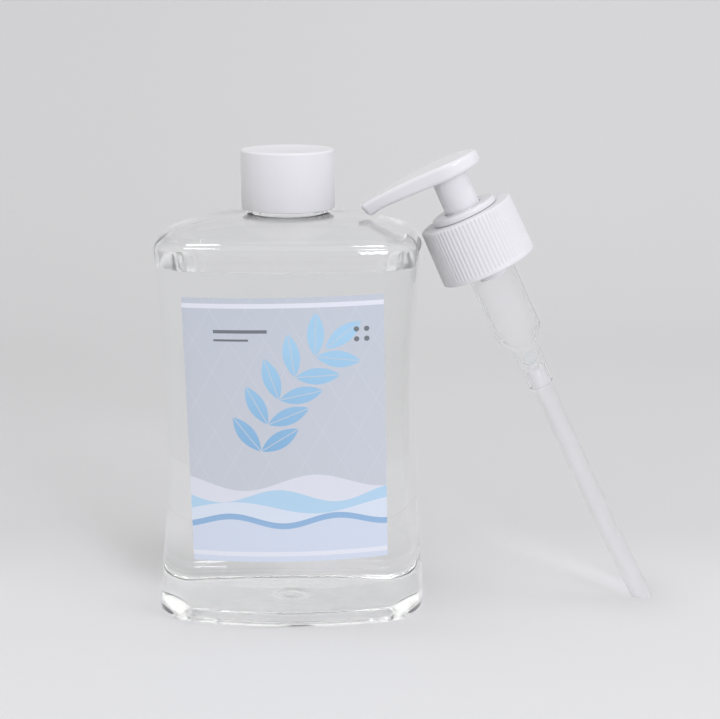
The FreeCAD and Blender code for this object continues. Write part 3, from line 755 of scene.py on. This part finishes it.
def dome_rings(inset):
    """Rings over the domed shoulder, from its sharp edge to the neck's foot."""
    edge = body_ring(inset, SHOULDER_HEIGHT - inset, BASE_THICKNESS if inset else 0.0)
    plan = (DOME_HALF_WIDTH, DOME_HALF_DEPTH, DOME_FRONT_RADIUS, DOME_SIDE_RADIUS, DOME_CORNER_RADIUS)
    middle = ring(quarter_outline(*(size - inset for size in plan)), DOME_HEIGHT - inset)
    mouth = round_ring(NECK_RADIUS + WALL - inset, NECK_FOOT - inset)
    rings = []
    for u in np.linspace(0, 1, DOME_RINGS):
        first = (u - DOME_SHARE) * (u - 1) / DOME_SHARE
        second = u * (u - 1) / (DOME_SHARE * (DOME_SHARE - 1))
        third = u * (u - DOME_SHARE) / (1 - DOME_SHARE)
        rings.append(first * edge + second * middle + third * mouth)
    return rings


def shoulder_rings(inset, floor, rounding):
    """Rings round the shoulder's edge and over the dome, the edge rounded by a smooth curve."""
    dome = dome_rings(inset)
    top = SHOULDER_HEIGHT - inset
    below = body_ring(inset, top - rounding, floor)
    run = np.linalg.norm(dome[0][0] - dome[-1][0])
    first_kept = max(2, int(round(DOME_RINGS * rounding / run)))
    rings = []
    for t in np.linspace(0, 1, SHOULDER_STEPS)[1:-1]:
        rings.append((1 - t) ** 2 * below + 2 * t * (1 - t) * dome[0] + t ** 2 * dome[first_kept])
    return rings + dome[first_kept:]


def wall_rings(inset, floor, low, high, count):
    return [body_ring(inset, z, floor) for z in np.linspace(low, high, count)]


def heel_rings(inset, floor, radius):
    """Rings round the rounded heel, from the flat to the wall."""
    rings = []
    for t in np.linspace(0, math.pi / 2, HEEL_STEPS):
        height = floor + radius * (1 - math.cos(t))
        rings.append(body_ring(inset, height, floor, radius * (1 - math.sin(t))))
    return rings


def flat_rings(outer, centre_z, shares):
    """Rings that shrink a ring towards the axis, ending close to it."""
    centre = np.array((0, 0, centre_z))
    return [outer * share + centre * (1 - share) for share in shares]


def gate_rings(outer):
    """The push-up's middle, with the small round gate mark that moulding leaves."""
    top = PUSH_UP_DEPTH + PUSH_UP_DOME
    rings = flat_rings(outer, top, GATE_SHARES)
    for share, drop in GATE_MARKS:
        rings.append(round_ring(GATE_RADIUS * share + GATE_LEAST, top - GATE_HEIGHT * drop))
    return rings


def neck_rings():
    """Rings up the outside of the neck, over its lip and down its bore."""
    lip = NECK_TOP - NECK_LIP
    inner_foot = NECK_FOOT - WALL
    side = np.linspace(NECK_FOOT + NECK_STRAIGHT, lip, NECK_RINGS)
    bore = np.linspace(NECK_TOP - BORE_ENDS[0], inner_foot + BORE_ENDS[1], BORE_RINGS)
    profile = [(NECK_RADIUS + out, NECK_FOOT + up) for out, up in NECK_FLARE]
    profile += [(NECK_RADIUS, z) for z in side]
    profile += arc((NECK_RADIUS - NECK_LIP, lip), NECK_LIP, 0, 90, LIP_STEPS)[1:]
    profile += [(NECK_BORE + BORE_EDGE, NECK_TOP), (NECK_BORE, NECK_TOP - BORE_EDGE)]
    profile += [(NECK_BORE, z) for z in bore]
    profile += [(NECK_BORE + BORE_EDGE, inner_foot + BORE_FOOT_RISE)]
    return [round_ring(r, z) for r, z in profile]


def outer_rings():
    """Rings of the bottle's outside, from push-up to dome, and how many stand below the oil's rim."""
    slope = []
    for t in np.linspace(0, 1, SLOPE_STEPS)[1:-1]:
        ease = t * t * (3 - 2 * t)
        slope.append(body_ring(0, PUSH_UP_DEPTH * (1 - ease), 0, STANDING_RING + PUSH_UP_SLOPE * (1 - t)))
    pushed = body_ring(0, PUSH_UP_DEPTH, 0, STANDING_RING + PUSH_UP_SLOPE)
    rings = gate_rings(pushed)[::-1] + [pushed] + slope
    rings += [body_ring(0, 0.0, 0, STANDING_RING), body_ring(0, 0.0, 0, (STANDING_RING + HEEL_RADIUS) / 2)]
    rings += heel_rings(0, 0.0, HEEL_RADIUS)
    rings += wall_rings(0, 0.0, HEEL_RADIUS, WET_TOP, WALL_RINGS)[1:]
    filled = len(rings)
    rings += wall_rings(0, 0.0, WET_TOP, SHOULDER_HEIGHT - SHOULDER_ROUNDING, HEADSPACE_RINGS)[1:]
    return rings + shoulder_rings(0, 0.0, SHOULDER_ROUNDING), filled


def inner_rings():
    """Rings of the bottle's inside, from the heel to the dome, and how many the oil wets."""
    rounding = SHOULDER_ROUNDING - WALL
    rings = heel_rings(WALL, BASE_THICKNESS, INNER_HEEL_RADIUS)
    low = BASE_THICKNESS + INNER_HEEL_RADIUS
    rings += wall_rings(WALL, BASE_THICKNESS, low, WET_TOP, INNER_WALL_RINGS)[1:]
    wet = len(rings)
    top = SHOULDER_HEIGHT - WALL - rounding
    rings += wall_rings(WALL, BASE_THICKNESS, WET_TOP, top, HEADSPACE_RINGS)[1:]
    return rings + shoulder_rings(WALL, BASE_THICKNESS, rounding), wet


def make_bottle():
    """The blown bottle as one closed wall: outside from the push-up to the lip, then down the inside."""
    outside, filled = outer_rings()
    inside_up, wet = inner_rings()
    floor = flat_rings(inside_up[0], BASE_THICKNESS, FLOOR_SHARES)
    rings = outside + neck_rings() + inside_up[::-1] + floor
    verts, faces = skin(rings, close_start=True, close_end=True)
    bottle = place("bottle_wall", verts, faces)
    for material in (PET, PET_WET, PET_FULL):
        bottle.data.materials.append(material)
    # The skin's faces run ring by ring. Its last two close the push-up and the floor inside.
    slots = np.zeros(len(faces), dtype=int)
    first_wet = (len(rings) - len(floor) - wet) * len(rings[0])
    slots[first_wet:] = 1
    slots[:(filled - 1) * len(rings[0])] = 2
    slots[-2] = 2
    bottle.data.polygons.foreach_set("material_index", slots)
    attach(bottle, "bottle")
    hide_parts("bottle_shell")


def make_oil():
    """The filling, a hair clear of the wall, with its surface drawn up at the edge."""
    inset = WALL + OIL_GAP
    floor = BASE_THICKNESS + OIL_GAP
    sides = heel_rings(inset, floor, INNER_HEEL_RADIUS)
    sides += wall_rings(inset, floor, floor + INNER_HEEL_RADIUS, WET_TOP, OIL_RINGS)[1:]
    bottom = flat_rings(sides[0], floor, OIL_FLOOR_SHARES)
    surface = []
    for depth in MENISCUS_DEPTHS:
        edge = body_ring(inset, OIL_LEVEL, floor, depth)
        edge[:, 2] = OIL_LEVEL + MENISCUS_HEIGHT * math.exp(-depth / MENISCUS_REACH)
        surface.append(edge)
    surface += flat_rings(surface[-1], OIL_LEVEL, OIL_TOP_SHARES)
    verts, faces = skin(bottom + sides + surface, close_start=True, close_end=True)
    oil = place("oil", verts, faces)
    oil.data.materials.append(OIL_SIDE)
    oil.data.materials.append(OIL_TOP)
    for face in oil.data.polygons:
        on_top = face.normal.z > SURFACE_TILT and face.center.z > (OIL_LEVEL - SURFACE_ROOM) * MM
        face.material_index = 1 if on_top else 0
    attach(oil, "bottle")
    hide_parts("oil_fill")


def front_y(x, z, outward):
    """The bottle's front at a place, drawn out by a distance."""
    quarter = body_quarter(-outward, z)
    return float(np.interp(abs(x), quarter[:, 0], quarter[:, 1]))


def label_point(u, v, outward):
    """Point of the tilted label on the bottle's front, from shares of its width and height."""
    across = (u - 0.5) * LABEL_WIDTH
    up = (v - 0.5) * LABEL_HEIGHT
    x = across * math.cos(LABEL_TILT) - up * math.sin(LABEL_TILT)
    z = LABEL_MIDDLE + across * math.sin(LABEL_TILT) + up * math.cos(LABEL_TILT)
    return x, front_y(x, z, outward), z


def make_label():
    """The label as a thin film that follows the front, printed on its outer face alone."""
    columns = np.linspace(0, 1, LABEL_COLUMNS + 1)
    rings = []
    shares = []
    for v in np.linspace(0, 1, LABEL_ROWS + 1):
        front = [label_point(u, v, LABEL_GAP + LABEL_THICKNESS) for u in columns]
        rings.append(front + [label_point(u, v, LABEL_GAP) for u in columns[::-1]])
        shares += [(u, v) for u in (*columns, *columns[::-1])]
    verts, faces = skin(rings, close_start=True, close_end=True)
    label = place("label", verts, faces)
    corners = label.data.uv_layers.new(name="print").data
    for loop in label.data.loops:
        corners[loop.index].uv = shares[loop.vertex_index]
    label.data.materials.append(LABEL)
    label.data.materials.append(LABEL_BACK)
    slots = [0 if k < LABEL_COLUMNS else 1 for k in range(len(rings[0]))] * LABEL_ROWS + [1, 1]
    label.data.polygons.foreach_set("material_index", slots)
    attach(label, "bottle")
    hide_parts("front_label")


def dress(obj, material, body, slot, *nodes):
    """Gives a made piece its material and body, and hides the solids it stands for; the slot is not used.
    """
    obj.data.materials.append(material)
    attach(obj, body)
    if nodes:
        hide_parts(*nodes)


def make_cap():
    """Smooth screw cap with a shallow dish in its top, and the threads of the cap and the neck."""
    bore = CAP_BORE - INNER_EDGE
    profile = [(AXIS_GAP, CAP_UNDERSIDE), (bore, CAP_UNDERSIDE), (CAP_BORE, CAP_UNDERSIDE - INNER_EDGE)]
    profile += [(CAP_BORE, CAP_FOOT + RIM_EDGE)]
    profile += arc((CAP_BORE + RIM_EDGE, CAP_FOOT + RIM_EDGE), RIM_EDGE, 180, 270, RIM_STEPS)[1:]
    profile += arc((CAP_RADIUS - RIM_EDGE, CAP_FOOT + RIM_EDGE), RIM_EDGE, 270, 360, RIM_STEPS)
    profile += arc((CAP_RADIUS - CAP_EDGE, CAP_TOP - CAP_EDGE), CAP_EDGE, 0, 90)
    profile += [(CAP_RADIUS - inward, CAP_TOP - down) for inward, down in CAP_DISH]
    profile += [(AXIS_GAP, CAP_TOP - CAP_DISH[-1][1])]
    dress(place("cap", *lathe(profile, CAP_STEPS)), CAP_WHITE, "cap", "white_plastic", "cap_shell")
    cap_thread = thread(CAP_BORE, -1, NECK_THREAD_FOOT + THREAD_PITCH / 2, "cap_thread")
    dress(cap_thread, CAP_WHITE, "cap", "white_plastic")
    dress(thread(NECK_RADIUS, 1, NECK_THREAD_FOOT, "neck_thread"), PET, "bottle", "clear_pet")


# Pump

def make_collar():
    """Ribbed collar: every ring has as many points, and the ribs are grooves in the rings of its side."""
    angles = around(RIB_COUNT * RIB_SAMPLES)
    pitch = 2 * math.pi / RIB_COUNT
    offset = np.abs((angles + pitch / 2) % pitch - pitch / 2) * COLLAR_FOOT_RADIUS
    groove = RIB_DEPTH * np.sqrt(np.clip(1 - (offset / RIB_HALF_WIDTH) ** 2, 0, 1))
    draft = (COLLAR_FOOT_RADIUS - COLLAR_TOP_RADIUS) / COLLAR_HEIGHT
    plain = [(COLLAR_HOLE, COLLAR_PANEL), (COLLAR_BORE - INNER_EDGE, COLLAR_PANEL)]
    plain += [(COLLAR_BORE, COLLAR_PANEL - INNER_EDGE), (COLLAR_BORE, RIM_EDGE)]
    plain += arc((COLLAR_BORE + RIM_EDGE, RIM_EDGE), RIM_EDGE, 180, 270, RIM_STEPS)[1:]
    plain += arc((COLLAR_FOOT_RADIUS - RIM_EDGE, RIM_EDGE), RIM_EDGE, 270, 360, RIM_STEPS)
    profile = [(r, z, 0) for r, z in plain]
    levels = [(RIB_FOOT + rise, share) for rise, share in RIB_FADE] + [(RIB_MIDDLE, 1)]
    profile += [(COLLAR_FOOT_RADIUS - draft * z, z, share) for z, share in levels]
    edge = arc((COLLAR_TOP_RADIUS - COLLAR_EDGE, COLLAR_HEIGHT - COLLAR_EDGE), COLLAR_EDGE, 0, 90)
    for k, (r, z) in enumerate(edge):
        profile.append((r, z, 1 - k / (len(edge) - 1)))
    profile += [(DISC_RADIUS + 1, COLLAR_HEIGHT, 0), (COLLAR_HOLE + RIM_EDGE, COLLAR_HEIGHT, 0)]
    profile += [(COLLAR_HOLE, COLLAR_HEIGHT - RIM_EDGE, 0)]
    rings = [level_ring(r - share * groove, angles, z) for r, z, share in profile]
    collar = place("collar", *skin(rings, wrap=True), PUMP_MATRIX, RIB_SMOOTH_ANGLE)
    dress(collar, COLLAR_WHITE, "collar", "white_plastic", "pump_closure")
    ridge = thread(COLLAR_BORE, -1, COLLAR_THREAD_FOOT, "collar_thread", PUMP_MATRIX)
    dress(ridge, COLLAR_WHITE, "collar", "white_plastic")


def make_lock_ring():
    """Cup that guides the sleeve, with the disc that lies on the collar."""
    profile = [(STEM_HOLE, CUP_FOOT), (CUP_RADIUS - RIM_EDGE, CUP_FOOT), (CUP_RADIUS, CUP_FOOT + RIM_EDGE)]
    profile += [(CUP_RADIUS, DISC_UNDERSIDE), (DISC_RADIUS - SMALL_EDGE, DISC_UNDERSIDE)]
    profile += [(DISC_RADIUS, DISC_UNDERSIDE + SMALL_EDGE)]
    profile += arc((DISC_RADIUS - DISC_EDGE, DISC_TOP - DISC_EDGE), DISC_EDGE, 0, 90)
    profile += [(CUP_BORE + out, DISC_TOP - down) for out, down in CUP_LIP]
    profile += [(CUP_BORE, CUP_FLOOR + RIM_EDGE), (CUP_BORE - RIM_EDGE, CUP_FLOOR), (STEM_HOLE, CUP_FLOOR)]
    disc = place("lock_ring_disc", *lathe(profile), PUMP_MATRIX)
    dress(disc, HEAD_WHITE, "pump_body", "white_plastic", "lock_ring")


def make_housing():
    """Pump chamber with its flange, tapered foot, inlet seat and tube socket."""
    drop = HOUSING_NECK - CHAMBER_RADIUS
    profile = [
        (HOUSING_BORE, COLLAR_HEIGHT), (HOUSING_NECK, COLLAR_HEIGHT),
        (HOUSING_NECK, FLANGE_TOP), (FLANGE_RADIUS, FLANGE_TOP), (FLANGE_RADIUS, FLANGE_BOTTOM),
        (HOUSING_NECK, FLANGE_BOTTOM), (HOUSING_NECK, LEDGE),
        (CHAMBER_RADIUS, LEDGE - 2 * drop), (CHAMBER_RADIUS, CHAMBER_FOOT + CHAMBER_EDGE[1]),
        (CHAMBER_RADIUS - CHAMBER_EDGE[0], CHAMBER_FOOT),
        (TAPER_RADIUS + TAPER_EDGE[0], TAPER_FOOT + TAPER_EDGE[1]), (TAPER_RADIUS, TAPER_FOOT),
        (FOOT_RADIUS, HOUSING_FOOT + RIM_EDGE), (FOOT_RADIUS - SMALL_EDGE, HOUSING_FOOT),
        (SOCKET_RADIUS, HOUSING_FOOT),
        (SOCKET_RADIUS, SOCKET_TOP), (INLET_BORE, SOCKET_TOP), (INLET_BORE, INLET_SEAT),
        (FOOT_BORE, INLET_SEAT + FOOT_BORE - INLET_BORE),
        (TAPER_RADIUS - FOOT_WALL, TAPER_FOOT + FOOT_WALL),
        (CHAMBER_BORE, CHAMBER_FOOT + FOOT_WALL), (CHAMBER_BORE, LEDGE), (HOUSING_BORE, LEDGE),
    ]
    housing = place("pump_housing", *lathe(profile), PUMP_MATRIX, HOUSING_SMOOTH_ANGLE)
    dress(housing, PP_CLEAR, "pump_body", "translucent_plastic", "housing")


def tube_centre(length):
    """Point on the tube's bowed centre line below the housing's foot, and its direction."""
    radius = TUBE_LENGTH / TUBE_BOW
    turn = length / radius
    point = np.array((radius * (1 - math.cos(turn)), 0, HOUSING_FOOT - radius * math.sin(turn)))
    return point, np.array((math.sin(turn), 0, -math.cos(turn)))


def make_tube():
    """Dip tube, cut level where it stands on the floor."""
    angles = around(TUBE_SIDES)
    stations = [(np.array((0, 0, SOCKET_TOP - TUBE_SEAT_GAP)), np.array((0, 0, -1.0)))]
    stations += [tube_centre(x) for x in np.linspace(0, TUBE_LENGTH - TUBE_CUT_ROOM, TUBE_RINGS)]
    walls = []
    for radius in (TUBE_RADIUS, TUBE_RADIUS - TUBE_WALL):
        rings = []
        for point, heading in stations:
            side = np.array((-heading[2], 0, heading[0]))
            circle = np.outer(np.cos(angles), side) + np.outer(np.sin(angles), (0, 1, 0))
            rings.append(point + radius * circle)
        heading = stations[-1][1]
        down = PUMP_MATRIX.to_3x3() @ Vector(heading)
        foot = []
        for point in rings[-1]:
            height = (PUMP_MATRIX @ (Vector(point) * MM)).z / MM
            foot.append(point + heading * (height / -down.z))
        walls.append(rings + [np.array(foot)])
    outer, inner = walls
    pipe = place("dip_tube_pipe", *skin(outer + inner[::-1], wrap=True), PUMP_MATRIX)
    dress(pipe, PP_TUBE, "pump_body", "translucent_plastic", "dip_tube")


def make_spring():
    """Return spring of even coils, given a mesh of its own."""
    low = SPRING_FOOT + SPRING_WIRE
    high = SPRING_TOP - SPRING_WIRE
    section = around(WIRE_SIDES)
    rings = []
    steps = int(SPRING_TURNS * SPRING_STEPS)
    for i in range(steps + 1):
        share = i / steps
        angle = 2 * math.pi * SPRING_TURNS * share
        reach = SPRING_RADIUS + SPRING_WIRE * np.cos(section)
        height = low + (high - low) * share + SPRING_WIRE * np.sin(section)
        rings.append(np.stack([reach * math.cos(angle), reach * math.sin(angle), height], 1))
    spring = place("return_spring", *skin(rings, close_start=True, close_end=True), PUMP_MATRIX)
    dress(spring, WIRE, "pump_body", "spring_steel", "spring")
    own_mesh(spring)


def head_plan():
    """Points of the head's outline in plan with their outward directions, from the pad to the nozzle."""
    flank = math.acos((PAD_RADIUS - NOZZLE_HALF_WIDTH) / NOZZLE_REACH)
    lean = math.pi - flank
    pad = []
    for a in np.linspace(-lean, lean, PAD_STEPS):
        outward = (math.cos(a), math.sin(a))
        pad.append(((PAD_RADIUS * outward[0], PAD_RADIUS * outward[1]), outward))
    end_x, end_y = pad[-1][0]
    slope = (NOZZLE_HALF_WIDTH - end_y) / (-NOZZLE_REACH - end_x)
    tip_x = -NOZZLE_REACH + TIP_CORNER
    tip_y = NOZZLE_HALF_WIDTH + slope * TIP_CORNER
    upper = []
    for t in np.linspace(0, 1, FLANK_STEPS)[1:]:
        upper.append(((end_x * (1 - t) + tip_x * t, end_y * (1 - t) + tip_y * t), pad[-1][1]))
    corner_y = tip_y - TIP_CORNER
    for a in np.linspace(lean, math.pi, TIP_STEPS)[1:]:
        outward = (math.cos(a), math.sin(a))
        upper.append(((tip_x + TIP_CORNER * outward[0], corner_y + TIP_CORNER * outward[1]), outward))
    for y in np.linspace(corner_y, 0, TIP_FLAT_STEPS)[1:]:
        upper.append(((-NOZZLE_REACH, y), (-1.0, 0.0)))
    lower = [((p[0], -p[1]), (n[0], -n[1])) for p, n in upper[-2::-1]]
    points, normals = zip(*(pad + upper + lower))
    return np.array(points), np.array(normals)


def head_top(x):
    """Height of the crowned top along the head."""
    return through((-NOZZLE_REACH, 0.0, PAD_RADIUS), (HEAD_TIP_TOP, HEAD_CROWN, HEAD_HEEL_TOP), x)


def head_foot(x):
    """Height of the underside, which droops towards the nozzle's lip."""
    past = max(0.0, NOZZLE_DROOP_START - x) / (NOZZLE_REACH - NOZZLE_LIP_BACK + NOZZLE_DROOP_START)
    return HEAD_UNDERSIDE - NOZZLE_DROOP * past ** 2


def head_ring(plan, on_top, edge=0.0):
    """An outline in plan set on the head's top or underside, or a little inside of it by the edge."""
    ring_points = []
    for x, y in plan:
        low = head_foot(x)
        high = head_top(x)
        z = high - edge if on_top else low + edge
        back = max(0.0, min(1.0, (-x - LIP_START) / (NOZZLE_REACH - LIP_START)))
        x += back * NOZZLE_LIP_BACK * (1 - (z - low) / (high - low))
        ring_points.append((x, y, z))
    return np.array(ring_points)


def head_tools():
    """The sleeve that joins the head, and the outlet and the stem's socket that are cut from it."""
    profile = [(SLEEVE_BORE, SLEEVE_FOOT), (SLEEVE_RADIUS - SMALL_EDGE, SLEEVE_FOOT)]
    profile += [(SLEEVE_RADIUS, SLEEVE_FOOT + SMALL_EDGE), (SLEEVE_RADIUS, DISC_TOP)]
    profile += [(SLEEVE_TOP_RADIUS, HEAD_UNDERSIDE - SLEEVE_FLARE)]
    flare = SLEEVE_TOP_RADIUS + SLEEVE_FLARE
    profile += arc((flare, HEAD_UNDERSIDE - SLEEVE_FLARE), SLEEVE_FLARE, *FLARE_ARC, FLARE_STEPS)[1:]
    profile += [(flare, HEAD_UNDERSIDE + TOOL_OVERLAP), (SLEEVE_BORE, HEAD_UNDERSIDE + TOOL_OVERLAP)]
    sleeve = place("sleeve_tool", *lathe(profile, SLEEVE_STEPS), PUMP_MATRIX)
    reach = NOZZLE_REACH + 2 * TOOL_OVERLAP
    profile = [(AXIS_GAP, -TOOL_OVERLAP), (OUTLET_RADIUS, -TOOL_OVERLAP)]
    profile += [(OUTLET_RADIUS, reach), (AXIS_GAP, reach)]
    turn = Matrix.Translation((0, 0, OUTLET_HEIGHT * MM)) @ Matrix.Rotation(-math.pi / 2, 4, "Y")
    outlet = place("outlet_tool", *lathe(profile, OUTLET_STEPS), PUMP_MATRIX @ turn)
    low = HEAD_UNDERSIDE - 2 * TOOL_OVERLAP
    profile = [(AXIS_GAP, low), (STEM_SOCKET, low), (STEM_SOCKET, STEM_TOP), (AXIS_GAP, STEM_TOP)]
    socket = place("socket_tool", *lathe(profile, SOCKET_STEPS), PUMP_MATRIX)
    return (sleeve, "UNION"), (outlet, "DIFFERENCE"), (socket, "DIFFERENCE")


def make_head():
    """Head in one moulding: a crowned pad drawn out into the nozzle, with its sleeve and outlet."""
    points, normals = head_plan()
    spine = np.column_stack([np.clip(points[:, 0], -NOZZLE_REACH + SPINE_SHORT, 0), np.zeros(len(points))])
    flats = [spine + (points - normals * HEAD_EDGE - spine) * share for share in HEAD_FLATS]
    edges = []
    for t in np.linspace(0, math.pi / 2, HEAD_EDGE_STEPS):
        edges.append((points - normals * HEAD_EDGE * (1 - math.sin(t)), HEAD_EDGE * (1 - math.cos(t))))
    rings = [head_ring(plan, False) for plan in flats]
    rings += [head_ring(plan, False, rise) for plan, rise in edges]
    rings += [head_ring(plan, True, rise) for plan, rise in edges[::-1]]
    rings += [head_ring(plan, True) for plan in flats[::-1]]
    head = place("pump_head_moulding", *skin(rings), PUMP_MATRIX)
    tools = head_tools()
    for tool, operation in tools:
        modifier = head.modifiers.new(tool.name, "BOOLEAN")
        modifier.operation = operation
        modifier.solver = "EXACT"
        modifier.object = tool
    bpy.context.view_layer.update()
    made = bpy.data.meshes.new_from_object(head.evaluated_get(bpy.context.evaluated_depsgraph_get()))
    head.modifiers.clear()
    head.data = made
    for tool, _ in tools:
        bpy.data.objects.remove(tool)
    made.shade_smooth()
    made.set_sharp_from_angle(angle=math.radians(HEAD_SMOOTH_ANGLE))
    dress(head, HEAD_WHITE, "pump_head", "white_plastic", "actuator_head")


def dress_solids():
    """Finishes of the solids that are shown as they are."""
    finishes = {
        "cap_liner": FOAM, "gasket": FOAM, "stem": HEAD_WHITE, "valve_seat": HEAD_WHITE,
        "piston": SEAL_WHITE, "outlet_ball": BALL_GLASS, "inlet_ball": BALL_GLASS,
    }
    for name, material in finishes.items():
        mesh = frame["nodes"][name].data
        mesh.materials.clear()
        mesh.materials.append(material)


make_bottle()
make_oil()
make_label()
make_cap()
make_collar()
make_lock_ring()
make_housing()
make_tube()
make_spring()
make_head()
dress_solids()


# Stage, light and camera

# Painted light and shade on the paper: lighter in front as a painted pool of light, darker behind as
# painted shade, and darker still at the back's left as a painted shadow cast to the left
FLOOR_LIT_FRONT = (0.728, 0.728, 0.732)
FLOOR_BACK = (0.655, 0.655, 0.657)
FLOOR_SHADOW_LEFT = (0.632, 0.632, 0.634)
SWEEP_START = 0.35
SWEEP_RADIUS = 0.5
SWEEP_HEIGHT = 2.2
SWEEP_HALF_WIDTH = 2.5
SWEEP_FRONT = -8.0
SWEEP_STEPS = 24
FLOOR_TURN = (-0.01, 0.07)  # from front to back, where the painted light in front gives way to painted shade
FLOOR_ACROSS = (-0.20, 0.12)  # from left to right, where the painted shadow at the back's left fades
PAPER_ROUGH = 0.9
PAPER_SHINE = 0.1
WORLD_STRENGTH = 0.87
LAMPS = (  # name, place, aim, side, power, colour
    ("key", (0.58, -1.04, 0.67), (0.03, 0, 0.1), 0.26, 4.6, (0.90, 0.87, 1.0)),
    ("glint_right", (0.415, -0.25, 1.34), (0.03, -0.03, 0.12), 0.20, 1.7, (1.0, 1.0, 1.0)),
    ("glint_left", (-0.475, -0.03, 1.34), (-0.03, -0.03, 0.12), 0.20, 1.7, (1.0, 1.0, 1.0)),
)
CAMERA_PLACE = (0.023481, -0.449847, 0.199306)
CAMERA_PITCH = math.radians(14.393)
CAMERA_LENS = 68.926
CAMERA_SENSOR = 36.0
CAMERA_NEAR = 0.01
BOUNCES = 32


def smooth_step(tree, value, low, high):
    """Share that runs smoothly from 0 to 1 as the value goes from low to high."""
    made = node(tree, "ShaderNodeMapRange", From_Min=low, From_Max=high)
    made.interpolation_type = "SMOOTHSTEP"
    tree.links.new(value, made.inputs["Value"])
    return made.outputs[0]


def make_floor():
    """Seamless paper: a floor that curves up into a backdrop, with painted light in front, painted shade
    behind and a painted shadow at the back's left.
    """
    profile = [(SWEEP_FRONT, 0.0), (0.0, 0.0), (SWEEP_START, 0.0)]
    for a in np.linspace(0, math.pi / 2, SWEEP_STEPS)[1:]:
        profile.append((SWEEP_START + SWEEP_RADIUS * math.sin(a), SWEEP_RADIUS * (1 - math.cos(a))))
    profile.append((SWEEP_START + SWEEP_RADIUS, SWEEP_HEIGHT))
    verts = []
    faces = []
    for k, (y, z) in enumerate(profile):
        verts += [(-SWEEP_HALF_WIDTH, y, z), (SWEEP_HALF_WIDTH, y, z)]
        if k:
            faces.append((2 * k - 2, 2 * k - 1, 2 * k + 1, 2 * k))
    mesh = bpy.data.meshes.new("floor")
    mesh.from_pydata(verts, [], faces)
    mesh.shade_smooth()
    material, tree, shader = new_material("paper")
    coords = tree.nodes.new("ShaderNodeTexCoord")
    parts = tree.nodes.new("ShaderNodeSeparateXYZ")
    tree.links.new(coords.outputs["Object"], parts.inputs[0])
    # Painted shadow at the back's left, then painted light in front against painted shade behind
    back = blend(tree, smooth_step(tree, parts.outputs[0], *FLOOR_ACROSS), FLOOR_SHADOW_LEFT, FLOOR_BACK)
    colour = blend(tree, smooth_step(tree, parts.outputs[1], *FLOOR_TURN), FLOOR_LIT_FRONT, back)
    tree.links.new(colour, shader.inputs["Base Color"])
    settle(shader, Roughness=PAPER_ROUGH, Specular_IOR_Level=PAPER_SHINE)
    mesh.materials.append(material)
    floor = add("floor", mesh)


def softbox(name, location, target, side, power, colour):
    data = bpy.data.lights.new(name, "AREA")
    data.shape = "SQUARE"
    data.size = side
    data.energy = power
    data.color = colour
    lamp = add(name, data)
    lamp.location = location
    lamp.rotation_euler = (Vector(target) - Vector(location)).to_track_quat("-Z", "Y").to_euler()


def make_light():
    """A low key lamp, two small lamps overhead for the shoulder's glints, and an even pale surround."""
    for lamp in LAMPS:
        softbox(*lamp)
    world = bpy.data.worlds.new("studio")
    bpy.context.scene.world = world
    world.use_nodes = True
    settle(world.node_tree.nodes["Background"], Color=(1.0, 1.0, 1.0, 1.0), Strength=WORLD_STRENGTH)


def make_camera():
    """The photo's camera, as it was fitted."""
    data = bpy.data.cameras.new("camera")
    data.lens = CAMERA_LENS
    data.sensor_width = CAMERA_SENSOR
    data.sensor_fit = "HORIZONTAL"
    data.clip_start = CAMERA_NEAR
    camera = add("camera", data)
    camera.location = CAMERA_PLACE
    camera.rotation_euler = (math.pi / 2 - CAMERA_PITCH, 0, 0)
    bpy.context.scene.camera = camera


make_floor()
make_light()
make_camera()
bpy.context.scene.view_settings.view_transform = "Standard"

# Light needs many bounces to get through a wall, the oil and the wall behind it
bpy.context.scene.cycles.max_bounces = BOUNCES
bpy.context.scene.cycles.transmission_bounces = BOUNCES
bpy.context.scene.cycles.glossy_bounces = BOUNCES
